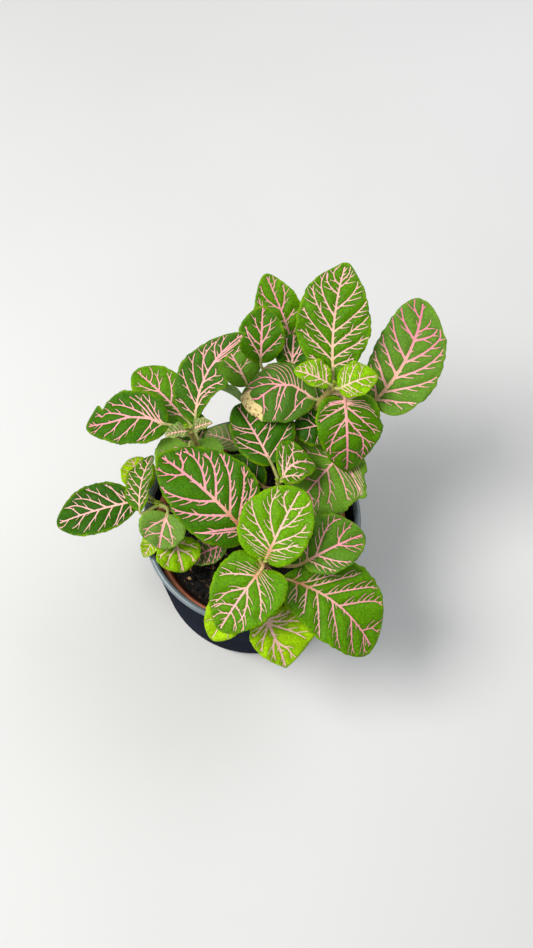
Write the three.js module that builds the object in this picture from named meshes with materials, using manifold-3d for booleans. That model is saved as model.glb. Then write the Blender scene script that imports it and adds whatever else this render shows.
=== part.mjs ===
// Potted nerve plant: six leafy shoots in a nursery pot that stands in a cover pot.
// Millimetres, +Z up. The origin is the middle of the cover pot's underside,
// -Y is the side that the plant is seen from and +X is to its right.
import * as THREE from 'three';
import { mergeVertices } from 'three/addons/utils/BufferGeometryUtils.js';
import Module from 'manifold-3d';

const wasm = await Module();
wasm.setup();

// Cover pot
const LIP_RADIUS = 50;
const POT_HEIGHT = 80;
const LIP_WIDTH = 2.8;
const LIP_DROP = 5;
const POT_WALL = 2.2;
const POT_FLOOR = 4;
const BODY_TOP_RADIUS = 49.3;
const BODY_FOOT_RADIUS = 48.8;
const FOOT_ROUNDING = 4;
const FOOT_ARC_STEPS = 4;
const LIP_ARC_STEPS = 6;

// Nursery pot, which stands a little off the middle of the cover pot
const NURSERY_RIM_RADIUS = 45;
const NURSERY_HEIGHT = 66;
const NURSERY_BODY_RADIUS = 42.4;
const NURSERY_FOOT_RADIUS = 32;
const NURSERY_WALL = 1.2;
const NURSERY_FLOOR = 2.4;
const NURSERY_RIM_WIDTH = 2;
const NURSERY_RIM_HEIGHT = 8;
const NURSERY_BEVEL = 0.6;
const NURSERY_OFFSET = [-1, -1.4];
const DRAIN_RADIUS = 3;
const DRAIN_RING = 20;
const DRAIN_COUNT = 4;
const DRAIN_SIDES = 16;

// Soil, and the fits between the pieces
const FIT = 0.3;
const SOIL_TOP = 67.5;
const SOIL_RELIEF = 1.1;
const SOIL_RINGS = 6;
const HOLE_CLEARANCE = 0.5;
const HOLE_SIDES = 10;
const HOLE_BELOW_STEM = 0.6;
const HOLE_ABOVE_STEM_FOOT = 12;
const HOLE_LEAN_AT = 0.12;

// The lumps of the soil: crossed waves, their lengths along X and Y and their shares of the relief
const SOIL_WAVES = [
  { lengthX: 30, lengthY: 37, shiftX: 0.8, shiftY: 1.2, share: 0.7 },
  { lengthX: 11, lengthY: 13, shiftX: 0, shiftY: 1.3, share: 0.3 },
];

// Stems and petioles. The handles and the rise are shares of the way from stem to blade.
const STEM_FOOT_RADIUS = 1.7;
const STEM_TOP_RADIUS = 1.0;
const STEM_SIDES = 8;
const STEM_STEPS = 8;
const STEM_NUDGE = 0.02;
const PETIOLE_RADIUS = 0.95;
const PETIOLE_END_RADIUS = 0.6;
const PETIOLE_SIDES = 5;
const PETIOLE_STEPS = 3;
const PETIOLE_HANDLE = 0.35;
const PETIOLE_RISE = 0.6;

// How far along the midrib a petiole ends, and how deep under it, as a share of the thickness
const PETIOLE_REACH = 0.12;
const PETIOLE_SINK = 0.3;

// Blades
const BLADE_THICKNESS = 0.7;
const BLADE_STEPS = 7;
const BLADE_STRIPS = 4;
const BLADE_END = 0.004;
const SMALL_BLADE_WIDTH = 10;
const SMALL_BLADE_STEPS = 5;
const PINCH_BEFORE = 0.07;
const PINCH_AFTER = 0.03;
const LOBE_FADE = 3;

const POT_SEGMENTS = 40;
const MERGE_DISTANCE = 1e-4;

// What a blade has unless its own line says otherwise. arch: how far its middle stands above the
// straight line from base to tip. bend: the same to its right. cup: the lift of its edges. roll:
// its turn about that line, in degrees. side: the share by which its right half is the wider.
// lobe: how far its base lobes reach back. full, fullRight, point: the form of its outline, and
// of its right half where that differs. pinch: where along it the right half narrows, and by how
// much. wave, waves: the height and number of the waves in its edges.
const BLADE = {
  arch: 3,
  bend: 0,
  cup: 2,
  roll: 0,
  side: 0,
  lobe: 1.5,
  full: 0.85,
  point: 0.62,
  pinch: [2, 0],
  wave: 0.8,
  waves: 2.5,
};

// The waves of each next leaf of a shoot start this much later
const WAVE_STEP = 0.37;

// Four leaves with more of their own than fits on their line: one whose halves differ, one that
// narrows to a curled tip, a rounded one and the broadest
const UNEVEN = { bend: 5, full: 0.98, fullRight: 0.66, side: 0.08, lobe: 5, point: 0.5 };
const CURLED = { arch: 4, bend: -5, full: 0.62, fullRight: 1.5, side: -0.07, pinch: [0.57, 0.6] };
const ROUNDED = { arch: 4, cup: 1, full: 0.64, point: 0.58, side: -0.04, lobe: 7 };
const BROAD = { arch: 4, cup: 0.5, full: 1.25, fullRight: 1.02, point: 0.5, bend: -5, side: -0.09 };

// The shoots. stem: its foot, middle and top. leaves: the place on the stem where the leaf
// starts (0 foot, 1 top), the two ends of the blade, its greatest width and what sets it apart.
const SHOOTS = {
  shoot_back_right: {
    stem: [[12, 20, 62], [21, 33, 97], [35, 41, 129]],
    leaves: [
      [0.95, [35, 44, 129], [40, 88, 151], 30, { cup: 1.5, full: 0.95, bend: -2.5, side: -0.06 }],
      [0.87, [52, 38, 119], [74, 79, 137], 31, UNEVEN],
      [0.95, [40, 38, 124], [42, 14, 100], 27.5, { arch: 5, cup: -2, full: 0.6, side: -0.06, lobe: 5 }],
      [0.87, [28, 40, 119], [-5, 46, 110], 29, { arch: 6, cup: -4, roll: -8, side: 0.15, full: 0.95 }],
      [1, [33, 41, 131], [18, 46, 134], 12.6, { arch: 2, side: 0.12 }],
      [1, [37, 39, 131], [53, 43, 135], 16, { arch: 2 }],
      [0.62, [45, 28, 100], [18, 0, 88], 37, { cup: -3, side: -0.05 }],
      [0.4, [27, 44, 95], [45, 65, 91], 20, {}],
      [0.6, [33.5, 33.5, 109], [18.5, 31.5, 106], 17, { arch: 2, roll: -28 }],
    ],
  },
  shoot_back: {
    stem: [[2, 26, 62], [6, 38, 88], [14, 55, 107]],
    leaves: [
      [0.9, [20, 72, 104], [6, 100, 126], 23, { side: -0.15 }],
      [0.95, [4, 62, 112], [5, 85, 123], 21, {}],
      [0.8, [-2, 57, 100], [-14, 78, 104], 20, {}],
      [1, [18, 60, 109], [19, 76, 114], 16, { arch: 2 }],
      [0.5, [-4, 30, 92], [-22, 37, 90], 13, { arch: 2 }],
      [0.4, [11, 48, 86], [22, 70, 84], 18, {}],
      [0.65, [-3, 47, 100], [-20, 55, 103], 12, { arch: 2, roll: 78, wave: 0.3 }],
    ],
  },
  shoot_left: {
    stem: [[-10, 14, 62], [-19, 19, 92], [-26, 25, 120]],
    leaves: [
      [0.96, [-24, 29, 118], [-2, 62, 138], 22, CURLED],
      [0.9, [-36, 30, 115], [-73, 32, 108], 26, { arch: 4, cup: 1, full: 0.75, side: 0.15 }],
      [0.65, [-28, 36, 104], [-53, 61, 107], 24, { point: 0.55 }],
      [0.4, [-25, 32, 84], [-38, 56, 84], 18, {}],
      [1, [-24, 25, 121], [-16, 26, 125], 6, { arch: 1 }],
      [1, [-27, 24, 121], [-36, 21, 123], 7, { arch: 1 }],
      [0.72, [-27, 24.5, 108], [-27, 0, 97], 30, { arch: 5, cup: -2, full: 0.55, lobe: 6 }],
    ],
  },
  shoot_front: {
    stem: [[2, -8, 62], [4, -22, 88], [5, -29, 107]],
    leaves: [
      [1, [6, -29, 108], [21, 0, 116], 30.7, { point: 0.5, side: -0.127, lobe: 4 }],
      [1, [5, -31.5, 106.5], [-13, -56, 98], 30.5, ROUNDED],
      [0.85, [-1, -17, 102], [-40, 17, 112], 37.5, { arch: 4, full: 0.78, side: 0.05, bend: 1.5 }],
      [0.8, [13, -33, 96], [52, -61, 83], 36.5, BROAD],
      [0.78, [22, -28, 101], [48.5, -15, 101], 26, { side: -0.15, point: 0.55 }],
      [0.5, [7, -45, 90], [15, -68, 78], 30, { full: 0.7, point: 0.9, side: -0.25 }],
      [0.4, [20, -20, 84], [42, -34, 85], 20, {}],
      [0.45, [-4, -40, 92], [-17, -57, 84], 18, {}],
    ],
  },
  shoot_front_left: {
    stem: [[-14, 2, 62], [-28, 0, 80], [-40, 0, 96]],
    leaves: [
      [0.9, [-50, 4, 91], [-88, -5, 84], 24, { full: 0.95 }],
      [0.7, [-48, 10, 87], [-56, 26, 87], 16, {}],
      [1, [-49, -3, 96], [-44, 22, 100], 16, { roll: -35 }],
      [1, [-36, -6, 102], [-40, -19, 92], 21, { full: 0.65 }],
      [0.6, [-34, -13, 88], [-30, -27, 83], 20, { arch: 2, cup: 1 }],
      [0.5, [-42, -9, 84], [-48, -20, 82.5], 9, { arch: 1, cup: 1 }],
    ],
  },
  shoot_middle: {
    stem: [[8, 4, 62], [10, 6, 85], [12, 7, 104]],
    leaves: [
      [1, [9, 15, 106], [-7, 45, 104], 28, { side: 0.25, full: 0.8 }],
      [1, [13, 8, 106], [28, 15, 106], 20, { arch: 4, bend: -3, side: -0.1 }],
      [0.3, [-12, -13, 79], [-28, -20, 76], 14, {}],
      [0.8, [5, 8, 98], [-10, 22, 98], 14, { arch: 2 }],
      [0.4, [24, 2, 82], [43, 4, 81], 14, { arch: 2 }],
    ],
  },
};

// Small vector helpers
const UP = new THREE.Vector3(0, 0, 1);

function vec([x, y, z]) {
  return new THREE.Vector3(x, y, z);
}

// The sum of vectors, each given with its share
function sum(...terms) {
  const total = new THREE.Vector3();
  for (const [vector, share] of terms) {
    total.addScaledVector(vector, share);
  }
  return total;
}

// A closed mesh as a solid, and back
function solidOf(geometry) {
  const plain = geometry.clone();
  plain.deleteAttribute('normal');
  plain.deleteAttribute('uv');
  const merged = mergeVertices(plain, MERGE_DISTANCE);
  const mesh = new wasm.Mesh({
    numProp: 3,
    vertProperties: new Float32Array(merged.attributes.position.array),
    triVerts: new Uint32Array(merged.index.array),
  });
  return new wasm.Manifold(mesh);
}

function geometryOf(solid) {
  const mesh = solid.getMesh();
  return meshGeometry([...mesh.vertProperties], [...mesh.triVerts]);
}

function meshGeometry(positions, index) {
  const geometry = new THREE.BufferGeometry();
  geometry.setAttribute('position', new THREE.Float32BufferAttribute(positions, 3));
  geometry.setIndex(index);
  geometry.computeVertexNormals();
  return geometry;
}

// A lathe about Z: profile points are [radius, height], from the axis out and back to it
function turned(profile) {
  const points = profile.map(([radius, height]) => new THREE.Vector2(radius, height));
  const lathe = new THREE.LatheGeometry(points, POT_SEGMENTS);
  lathe.rotateX(Math.PI / 2);
  return lathe;
}

// Points on an arc, for the rounded edges of a profile
function arc(centre, radius, from, to, steps) {
  const points = [];
  for (let i = 0; i <= steps; i += 1) {
    const angle = THREE.MathUtils.degToRad(from + ((to - from) * i) / steps);
    points.push([centre[0] + radius * Math.cos(angle), centre[1] + radius * Math.sin(angle)]);
  }
  return points;
}

// Cover pot: a cup with a rounded foot and a thick rounded lip
function coverPot() {
  const lip = LIP_WIDTH / 2;
  const footCentre = [BODY_FOOT_RADIUS - FOOT_ROUNDING, FOOT_ROUNDING];
  const lipCentre = [LIP_RADIUS - lip, POT_HEIGHT - lip];
  const insideFoot = BODY_FOOT_RADIUS - POT_WALL;
  return turned([
    [0, 0],
    ...arc(footCentre, FOOT_ROUNDING, -90, 0, FOOT_ARC_STEPS),
    [BODY_TOP_RADIUS, POT_HEIGHT - LIP_DROP],
    ...arc(lipCentre, lip, -30, 180, LIP_ARC_STEPS),
    [LIP_RADIUS - LIP_WIDTH, POT_HEIGHT - LIP_DROP],
    [insideFoot, POT_FLOOR + FOOT_ROUNDING],
    [insideFoot - FOOT_ROUNDING, POT_FLOOR],
    [0, POT_FLOOR],
  ]);
}

// Nursery pot: a thin tapered cup with a stepped rim and drain holes
const NURSERY_BOTTOM = POT_FLOOR + FIT;
const NURSERY_TOP = NURSERY_BOTTOM + NURSERY_HEIGHT;
const NURSERY_STEP = NURSERY_TOP - NURSERY_RIM_HEIGHT;
const NURSERY_RIM_INSIDE = NURSERY_RIM_RADIUS - NURSERY_RIM_WIDTH;

function nurseryPot() {
  const cup = turned([
    [0, NURSERY_BOTTOM],
    [NURSERY_FOOT_RADIUS - NURSERY_BEVEL, NURSERY_BOTTOM],
    [NURSERY_FOOT_RADIUS, NURSERY_BOTTOM + NURSERY_BEVEL],
    [NURSERY_BODY_RADIUS, NURSERY_STEP],
    [NURSERY_RIM_RADIUS - NURSERY_BEVEL, NURSERY_STEP + NURSERY_BEVEL],
    [NURSERY_RIM_RADIUS, NURSERY_TOP - NURSERY_BEVEL],
    [NURSERY_RIM_RADIUS - NURSERY_BEVEL, NURSERY_TOP],
    [NURSERY_RIM_INSIDE + NURSERY_BEVEL, NURSERY_TOP],
    [NURSERY_RIM_INSIDE, NURSERY_TOP - NURSERY_BEVEL],
    [NURSERY_BODY_RADIUS - NURSERY_WALL, NURSERY_STEP],
    [NURSERY_FOOT_RADIUS - NURSERY_WALL, NURSERY_BOTTOM + NURSERY_FLOOR],
    [0, NURSERY_BOTTOM + NURSERY_FLOOR],
  ]);
  let pot = solidOf(cup);
  for (let i = 0; i < DRAIN_COUNT; i += 1) {
    pot = pot.subtract(solidOf(drainDrill(i)));
  }
  return geometryOf(pot.translate([...NURSERY_OFFSET, 0]));
}

// What drills one drain hole: it stands out of both faces of the floor
function drainDrill(i) {
  const angle = (2 * Math.PI * (i + 0.5)) / DRAIN_COUNT;
  const drill = new THREE.CylinderGeometry(DRAIN_RADIUS, DRAIN_RADIUS, 3 * NURSERY_FLOOR, DRAIN_SIDES);
  drill.rotateX(Math.PI / 2);
  drill.translate(DRAIN_RING * Math.cos(angle), DRAIN_RING * Math.sin(angle), NURSERY_BOTTOM);
  return drill;
}

// Soil: it fills the nursery pot, with an uneven top and a plain hole for each stem
function soilHeight(x, y) {
  let height = SOIL_TOP;
  for (const { lengthX, lengthY, shiftX, shiftY, share } of SOIL_WAVES) {
    const alongX = Math.sin((2 * Math.PI * x) / lengthX + shiftX);
    const alongY = Math.sin((2 * Math.PI * y) / lengthY + shiftY);
    height += SOIL_RELIEF * share * alongX * alongY;
  }
  return height;
}

function soil() {
  const floor = NURSERY_BOTTOM + NURSERY_FLOOR + FIT;
  const footRadius = NURSERY_FOOT_RADIUS - NURSERY_WALL - FIT;
  const radius = NURSERY_BODY_RADIUS - NURSERY_WALL - FIT;
  const profile = [[0, floor], [footRadius, floor], [radius, NURSERY_STEP - FIT], [radius, SOIL_TOP]];
  for (let i = 1; i <= SOIL_RINGS; i += 1) {
    profile.push([radius * (1 - i / SOIL_RINGS), SOIL_TOP]);
  }
  const body = turned(profile);
  const position = body.attributes.position;
  for (let i = 0; i < position.count; i += 1) {
    if (position.getZ(i) > NURSERY_STEP) {
      position.setZ(i, soilHeight(position.getX(i), position.getY(i)));
    }
  }
  body.translate(...NURSERY_OFFSET, 0);
  let filled = solidOf(body);
  for (const shoot of Object.values(SHOOTS)) {
    filled = filled.subtract(solidOf(stemHole(shoot)));
  }
  return geometryOf(filled);
}

function stemHole(shoot) {
  const foot = stemAt(shoot, 0);
  const lean = stemAt(shoot, HOLE_LEAN_AT).sub(foot).normalize();
  const from = sum([foot, 1], [lean, -HOLE_BELOW_STEM]);
  const to = sum([foot, 1], [lean, HOLE_ABOVE_STEM_FOOT]);
  return tube([from, to], () => STEM_FOOT_RADIUS + HOLE_CLEARANCE, HOLE_SIDES);
}

// A closed tube through points, its radius a function of the share of the way along it.
// No stem or petiole runs along TUBE_START, so it can mark where each ring of the tube starts.
const TUBE_START = new THREE.Vector3(1, 0.3, 0);

function tube(points, radiusAt, sides) {
  const positions = [];
  const index = [];
  const last = points.length - 1;
  points.forEach((point, i) => {
    const before = points[Math.max(i - 1, 0)];
    const after = points[Math.min(i + 1, last)];
    const along = after.clone().sub(before).normalize();
    const right = TUBE_START.clone().cross(along).normalize();
    const over = along.clone().cross(right);
    const radius = radiusAt(i / last);
    for (let k = 0; k < sides; k += 1) {
      const angle = (2 * Math.PI * k) / sides;
      const out = sum([right, radius * Math.cos(angle)], [over, radius * Math.sin(angle)]);
      positions.push(point.x + out.x, point.y + out.y, point.z + out.z);
    }
  });
  for (let i = 0; i < last; i += 1) {
    for (let k = 0; k < sides; k += 1) {
      const a = i * sides + k;
      const b = i * sides + ((k + 1) % sides);
      index.push(a, b, b + sides, a, b + sides, a + sides);
    }
  }
  const end = last * sides;
  for (let k = 1; k < sides - 1; k += 1) {
    index.push(0, k + 1, k, end, end + k, end + k + 1);
  }
  return meshGeometry(positions, index);
}

// The stem is the parabola through its foot, middle and top
function stemAt(shoot, t) {
  const [foot, middle, top] = shoot.stem.map(vec);
  const handle = sum([middle, 2], [foot, -0.5], [top, -0.5]);
  return sum([foot, (1 - t) ** 2], [handle, 2 * t * (1 - t)], [top, t * t]);
}

// A blade as a surface: u from base to tip, v from -1 at the left edge to 1 at the right one
function bladeSurface([, base, tip, width, own], phase) {
  const form = { ...BLADE, ...own };
  const start = vec(base);
  const span = vec(tip).sub(start);
  const length = span.length();
  const along = span.clone().normalize();
  const levelUp = sum([UP, 1], [along, -UP.dot(along)]).normalize();
  const levelRight = along.clone().cross(levelUp);
  const turn = THREE.MathUtils.degToRad(form.roll);
  const up = sum([levelUp, Math.cos(turn)], [levelRight, Math.sin(turn)]);
  const right = sum([levelRight, Math.cos(turn)], [levelUp, -Math.sin(turn)]);
  const [pinchAt, pinchBy] = form.pinch;

  const midrib = (u) => {
    const bow = 4 * u * (1 - u);
    return sum([start, 1], [along, length * u], [up, form.arch * bow], [right, form.bend * bow]);
  };
  const share = (u, v) => {
    const full = v > 0 ? form.fullRight ?? form.full : form.full;
    const outline = Math.sin(Math.PI * u ** full) ** form.point;
    const wider = outline * (1 + form.side * Math.sign(v));
    if (v <= 0) {
      return wider;
    }
    const pinched = THREE.MathUtils.smoothstep(u, pinchAt - PINCH_BEFORE, pinchAt + PINCH_AFTER);
    return wider * (1 - pinchBy * pinched);
  };
  const point = (u, v) => {
    const out = Math.abs(v);
    const here = share(u, v);
    const turns = form.waves * u + phase + (v > 0 ? 0.5 : 0);
    const wave = form.wave * out * out * Math.sin(2 * Math.PI * turns) * Math.sin(Math.PI * u);
    const lift = form.cup * out * here + wave;
    const back = form.lobe * out * out * (1 - u) ** LOBE_FADE * here;
    return sum([midrib(u), 1], [right, (v * here * width) / 2], [up, lift], [along, -back]);
  };
  const heading = sum([along, length], [up, 4 * form.arch], [right, 4 * form.bend]).normalize();
  return { up, midrib, point, heading };
}

// A blade as a solid: two faces split alike, joined round the edge
function bladeSolid(leaf, phase) {
  const surface = bladeSurface(leaf, phase);
  const width = leaf[3];
  const steps = width < SMALL_BLADE_WIDTH ? SMALL_BLADE_STEPS : BLADE_STEPS;
  const across = BLADE_STRIPS + 1;
  const positions = [];
  for (const side of [0.5, -0.5]) {
    for (let i = 0; i <= steps; i += 1) {
      const spread = 0.5 - 0.5 * Math.cos((Math.PI * i) / steps);
      const u = THREE.MathUtils.clamp(spread, BLADE_END, 1 - BLADE_END);
      for (let j = 0; j < across; j += 1) {
        const point = surface.point(u, (2 * j) / BLADE_STRIPS - 1);
        point.addScaledVector(surface.up, side * BLADE_THICKNESS);
        positions.push(point.x, point.y, point.z);
      }
    }
  }
  return solidOf(meshGeometry(positions, bladeFaces(steps, across)));
}

function bladeFaces(steps, across) {
  const index = [];
  const under = (steps + 1) * across;
  const strips = across - 1;
  const quad = (a, b, c, d) => index.push(a, b, c, a, c, d);
  for (let i = 0; i < steps; i += 1) {
    for (let j = 0; j < strips; j += 1) {
      const a = i * across + j;
      const [b, c, d] = [a + 1, a + across + 1, a + across];
      if (j < strips / 2) {
        quad(a, b, c, d);
        quad(under + a, under + d, under + c, under + b);
      } else {
        quad(b, c, d, a);
        quad(under + b, under + a, under + d, under + c);
      }
    }
    const left = i * across;
    const right = left + strips;
    quad(left, left + across, under + left + across, under + left);
    quad(right, under + right, under + right + across, right + across);
  }
  for (let j = 0; j < strips; j += 1) {
    const end = steps * across + j;
    quad(j, under + j, under + j + 1, j + 1);
    quad(end, end + 1, under + end + 1, under + end);
  }
  return index;
}

// A petiole runs from inside the stem to a little way under the midrib
function petioleSolid(shoot, leaf, phase) {
  const [at, base] = leaf;
  const surface = bladeSurface(leaf, phase);
  const from = stemAt(shoot, at);
  const to = vec(base);
  const reach = to.distanceTo(from);
  const above = stemAt(shoot, Math.min(1, at + STEM_NUDGE));
  const stemUp = above.sub(stemAt(shoot, at - STEM_NUDGE)).normalize();
  const away = sum([to, 1], [from, -1], [stemUp, PETIOLE_RISE * reach]).normalize();
  const curve = new THREE.CubicBezierCurve3(
    from,
    sum([from, 1], [away, PETIOLE_HANDLE * reach]),
    sum([to, 1], [surface.heading, -PETIOLE_HANDLE * reach]),
    to,
  );
  const points = curve.getPoints(PETIOLE_STEPS);
  points.push(surface.midrib(PETIOLE_REACH).addScaledVector(surface.up, -PETIOLE_SINK * BLADE_THICKNESS));
  const radiusAt = (t) => THREE.MathUtils.lerp(PETIOLE_RADIUS, PETIOLE_END_RADIUS, t);
  return solidOf(tube(points, radiusAt, PETIOLE_SIDES));
}

// A shoot: its stem, joined with the petiole and blade of each leaf
function shootSolid(shoot) {
  const stemPoints = [];
  for (let i = 0; i <= STEM_STEPS; i += 1) {
    stemPoints.push(stemAt(shoot, i / STEM_STEPS));
  }
  const radiusAt = (t) => THREE.MathUtils.lerp(STEM_FOOT_RADIUS, STEM_TOP_RADIUS, t);
  let whole = solidOf(tube(stemPoints, radiusAt, STEM_SIDES));
  shoot.leaves.forEach((leaf, i) => {
    const phase = (i * WAVE_STEP) % 1;
    whole = whole.add(petioleSolid(shoot, leaf, phase));
    whole = whole.add(bladeSolid(leaf, phase));
  });
  return geometryOf(whole);
}

// Materials
const POT_LOOK = { color: 0x161a20, roughness: 0.3, metalness: 0 };
const NURSERY_LOOK = { color: 0xb5563a, roughness: 0.55, metalness: 0 };
const SOIL_LOOK = { color: 0x1c1612, roughness: 0.95, metalness: 0 };
const LEAF_COLOURS = [0x4f8a1e, 0x5c9a22, 0x47821c, 0x6fae24, 0x558f20, 0x3f7a1a];
const LEAF_ROUGHNESS = 0.5;

// The plant as it stands
const plant = new THREE.Group();

function addPiece(name, geometry, look) {
  const mesh = new THREE.Mesh(geometry, new THREE.MeshStandardMaterial(look));
  mesh.name = name;
  plant.add(mesh);
}

addPiece('cover_pot', coverPot(), POT_LOOK);
addPiece('nursery_pot', nurseryPot(), NURSERY_LOOK);
addPiece('soil', soil(), SOIL_LOOK);
Object.entries(SHOOTS).forEach(([name, shoot], i) => {
  const look = { color: LEAF_COLOURS[i], roughness: LEAF_ROUGHNESS, metalness: 0 };
  addPiece(name, shootSolid(shoot), look);
});

export default plant;
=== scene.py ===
# Potted nerve plant: the looks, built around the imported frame
import math
import random
from itertools import combinations

import bpy
import numpy as np
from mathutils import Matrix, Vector
from mathutils.geometry import delaunay_2d_cdt


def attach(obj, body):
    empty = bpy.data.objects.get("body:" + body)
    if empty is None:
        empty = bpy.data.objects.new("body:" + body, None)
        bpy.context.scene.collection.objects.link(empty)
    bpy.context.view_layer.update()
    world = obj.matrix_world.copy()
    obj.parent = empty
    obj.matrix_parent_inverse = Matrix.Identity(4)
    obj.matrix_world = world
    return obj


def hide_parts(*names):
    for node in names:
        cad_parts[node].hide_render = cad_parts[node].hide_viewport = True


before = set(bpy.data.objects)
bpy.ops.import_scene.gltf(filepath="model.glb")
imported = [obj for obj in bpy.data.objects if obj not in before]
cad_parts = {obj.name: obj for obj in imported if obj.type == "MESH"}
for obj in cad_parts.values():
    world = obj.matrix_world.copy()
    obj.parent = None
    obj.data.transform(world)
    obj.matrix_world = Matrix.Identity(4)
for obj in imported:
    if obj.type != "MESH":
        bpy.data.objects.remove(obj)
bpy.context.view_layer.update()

MM = 0.001

# Camera: the photograph's place and angle
CAMERA_PLACE = (0.0066, -0.1257, 0.445)
CAMERA_TILT = math.radians(21.9)
CAMERA_LENS = 32
CAMERA_NEAR = 0.01
SENSOR = 36

camera_data = bpy.data.cameras.new("camera")
camera_data.lens = CAMERA_LENS
camera_data.sensor_width = SENSOR
camera_data.clip_start = CAMERA_NEAR
camera = bpy.data.objects.new("camera", camera_data)
camera.location = CAMERA_PLACE
camera.rotation_euler = (CAMERA_TILT, 0, 0)
bpy.context.scene.collection.objects.link(camera)
bpy.context.scene.camera = camera

# The pots and the soil, in millimetres, as in the part
LIP_RADIUS = 50
POT_HEIGHT = 80
LIP_WIDTH = 2.8
LIP_DROP = 5
POT_WALL = 2.2
POT_FLOOR = 4
BODY_TOP_RADIUS = 49.3
BODY_FOOT_RADIUS = 48.8
FOOT_ROUNDING = 4
POT_SEGMENTS = 144
FOOT_STEPS, LIP_STEPS, BEVEL_STEPS = 10, 16, 5
NURSERY_RIM_RADIUS = 45
NURSERY_HEIGHT = 66
NURSERY_BODY_RADIUS = 42.4
NURSERY_FOOT_RADIUS = 32
NURSERY_WALL = 1.2
NURSERY_FLOOR = 2.4
NURSERY_RIM_WIDTH = 2
NURSERY_RIM_HEIGHT = 8
NURSERY_BEVEL = 0.6
NURSERY_SEGMENTS = 128
NURSERY_OFFSET = np.array([-1, -1.4, 0])
NURSERY_BOTTOM = POT_FLOOR + 0.3
NURSERY_TOP = NURSERY_BOTTOM + NURSERY_HEIGHT
NURSERY_STEP = NURSERY_TOP - NURSERY_RIM_HEIGHT
DRAIN_RADIUS = 3
DRAIN_RING = 20
DRAIN_COUNT = 4
DRAIN_SIDES = 24
FIT = 0.3
SOIL_TOP = 67.5
SOIL_RADIUS = NURSERY_BODY_RADIUS - NURSERY_WALL - FIT
SOIL_RINGS, SOIL_SECTORS = 46, 150
SOIL_SEED = 7
SOIL_MARGIN = 1.6
# Three sizes of small waves in the soil's top: how long, how tall, and which way they run
SOIL_WAVES = ((5.3, 0.35, 0.4), (3.1, 0.25, 1.1), (1.7, 0.16, 2.3))
CRUMB_COUNT = 900
CHIP_EVERY = 6
CRUMB_LIFT = 0.3
# Crumbs and bark chips: the smallest and largest size, and how flat
CRUMB = (0.7, 1.9), (0.5, 0.9)
CHIP = (0.5, 1.5), (0.25, 0.45)

# Stems and petioles
STEM_FOOT_RADIUS = 1.7
STEM_TOP_RADIUS = 1.0
STEM_STEPS, STEM_SIDES = 34, 12
STEM_NUDGE = 0.02
NODE_SWELL, NODE_REACH = 0.3, 0.025
PETIOLE_RADIUS = 0.95
PETIOLE_END_RADIUS = 0.6
PETIOLE_TAPER = (0.9, 0.75, 0.5)
PETIOLE_SIDES = 10
PETIOLE_STEP = 1.2
PETIOLE_HANDLE = 0.35
PETIOLE_RISE = 0.6
PETIOLE_TAIL = (0.04, 0.08, 0.12)
PETIOLE_SINK = 0.35
SMALL_BLADE = 10
SMALL_GIRTH = 0.6
SHOOT_SEED = 100
# Hairs for each millimetre of a stem and of a petiole, and their length and thickness
STEM_HAIRS, PETIOLE_HAIRS = 3, 2
HAIR_LENGTH = (0.4, 0.85)
HAIR_THICKNESS = 0.04
HAIR_REACH = 0.5
# The length of the two bud leaves at a stem's tip, and their width against it
BUD_LENGTHS = (3.4, 2.8)
BUD_WIDTH = 0.62
BUD_START = 0.8
BUD_LEAN = 1.4

# What a blade has unless its own line says otherwise. In a shoot, first its stem's foot, middle and
# top, then its leaves: the place on the stem, the blade's base, tip and width, and its own form
BLADE = dict(arch=3, bend=0, cup=2, roll=0, side=0, lobe=1.5, full=0.85, fullRight=None,
             point=0.62, pinch=(2, 0), wave=0.8, waves=2.5)
BUD = dict(arch=0.5, cup=0.9, wave=0.1, lobe=0.3)
WAVE_STEP = 0.37
# The share of a blade's length that is drawn, so that neither end shrinks to nothing
ENDS = (0.004, 0.996)
# The ripples of its edge: the fewest and the most of them, and how tall they are
RIPPLES = ((2.5, 4, 0.012), (6, 9, 0.012), (13, 18, 0.009))
RIPPLE_SHIFT = 0.37

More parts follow.
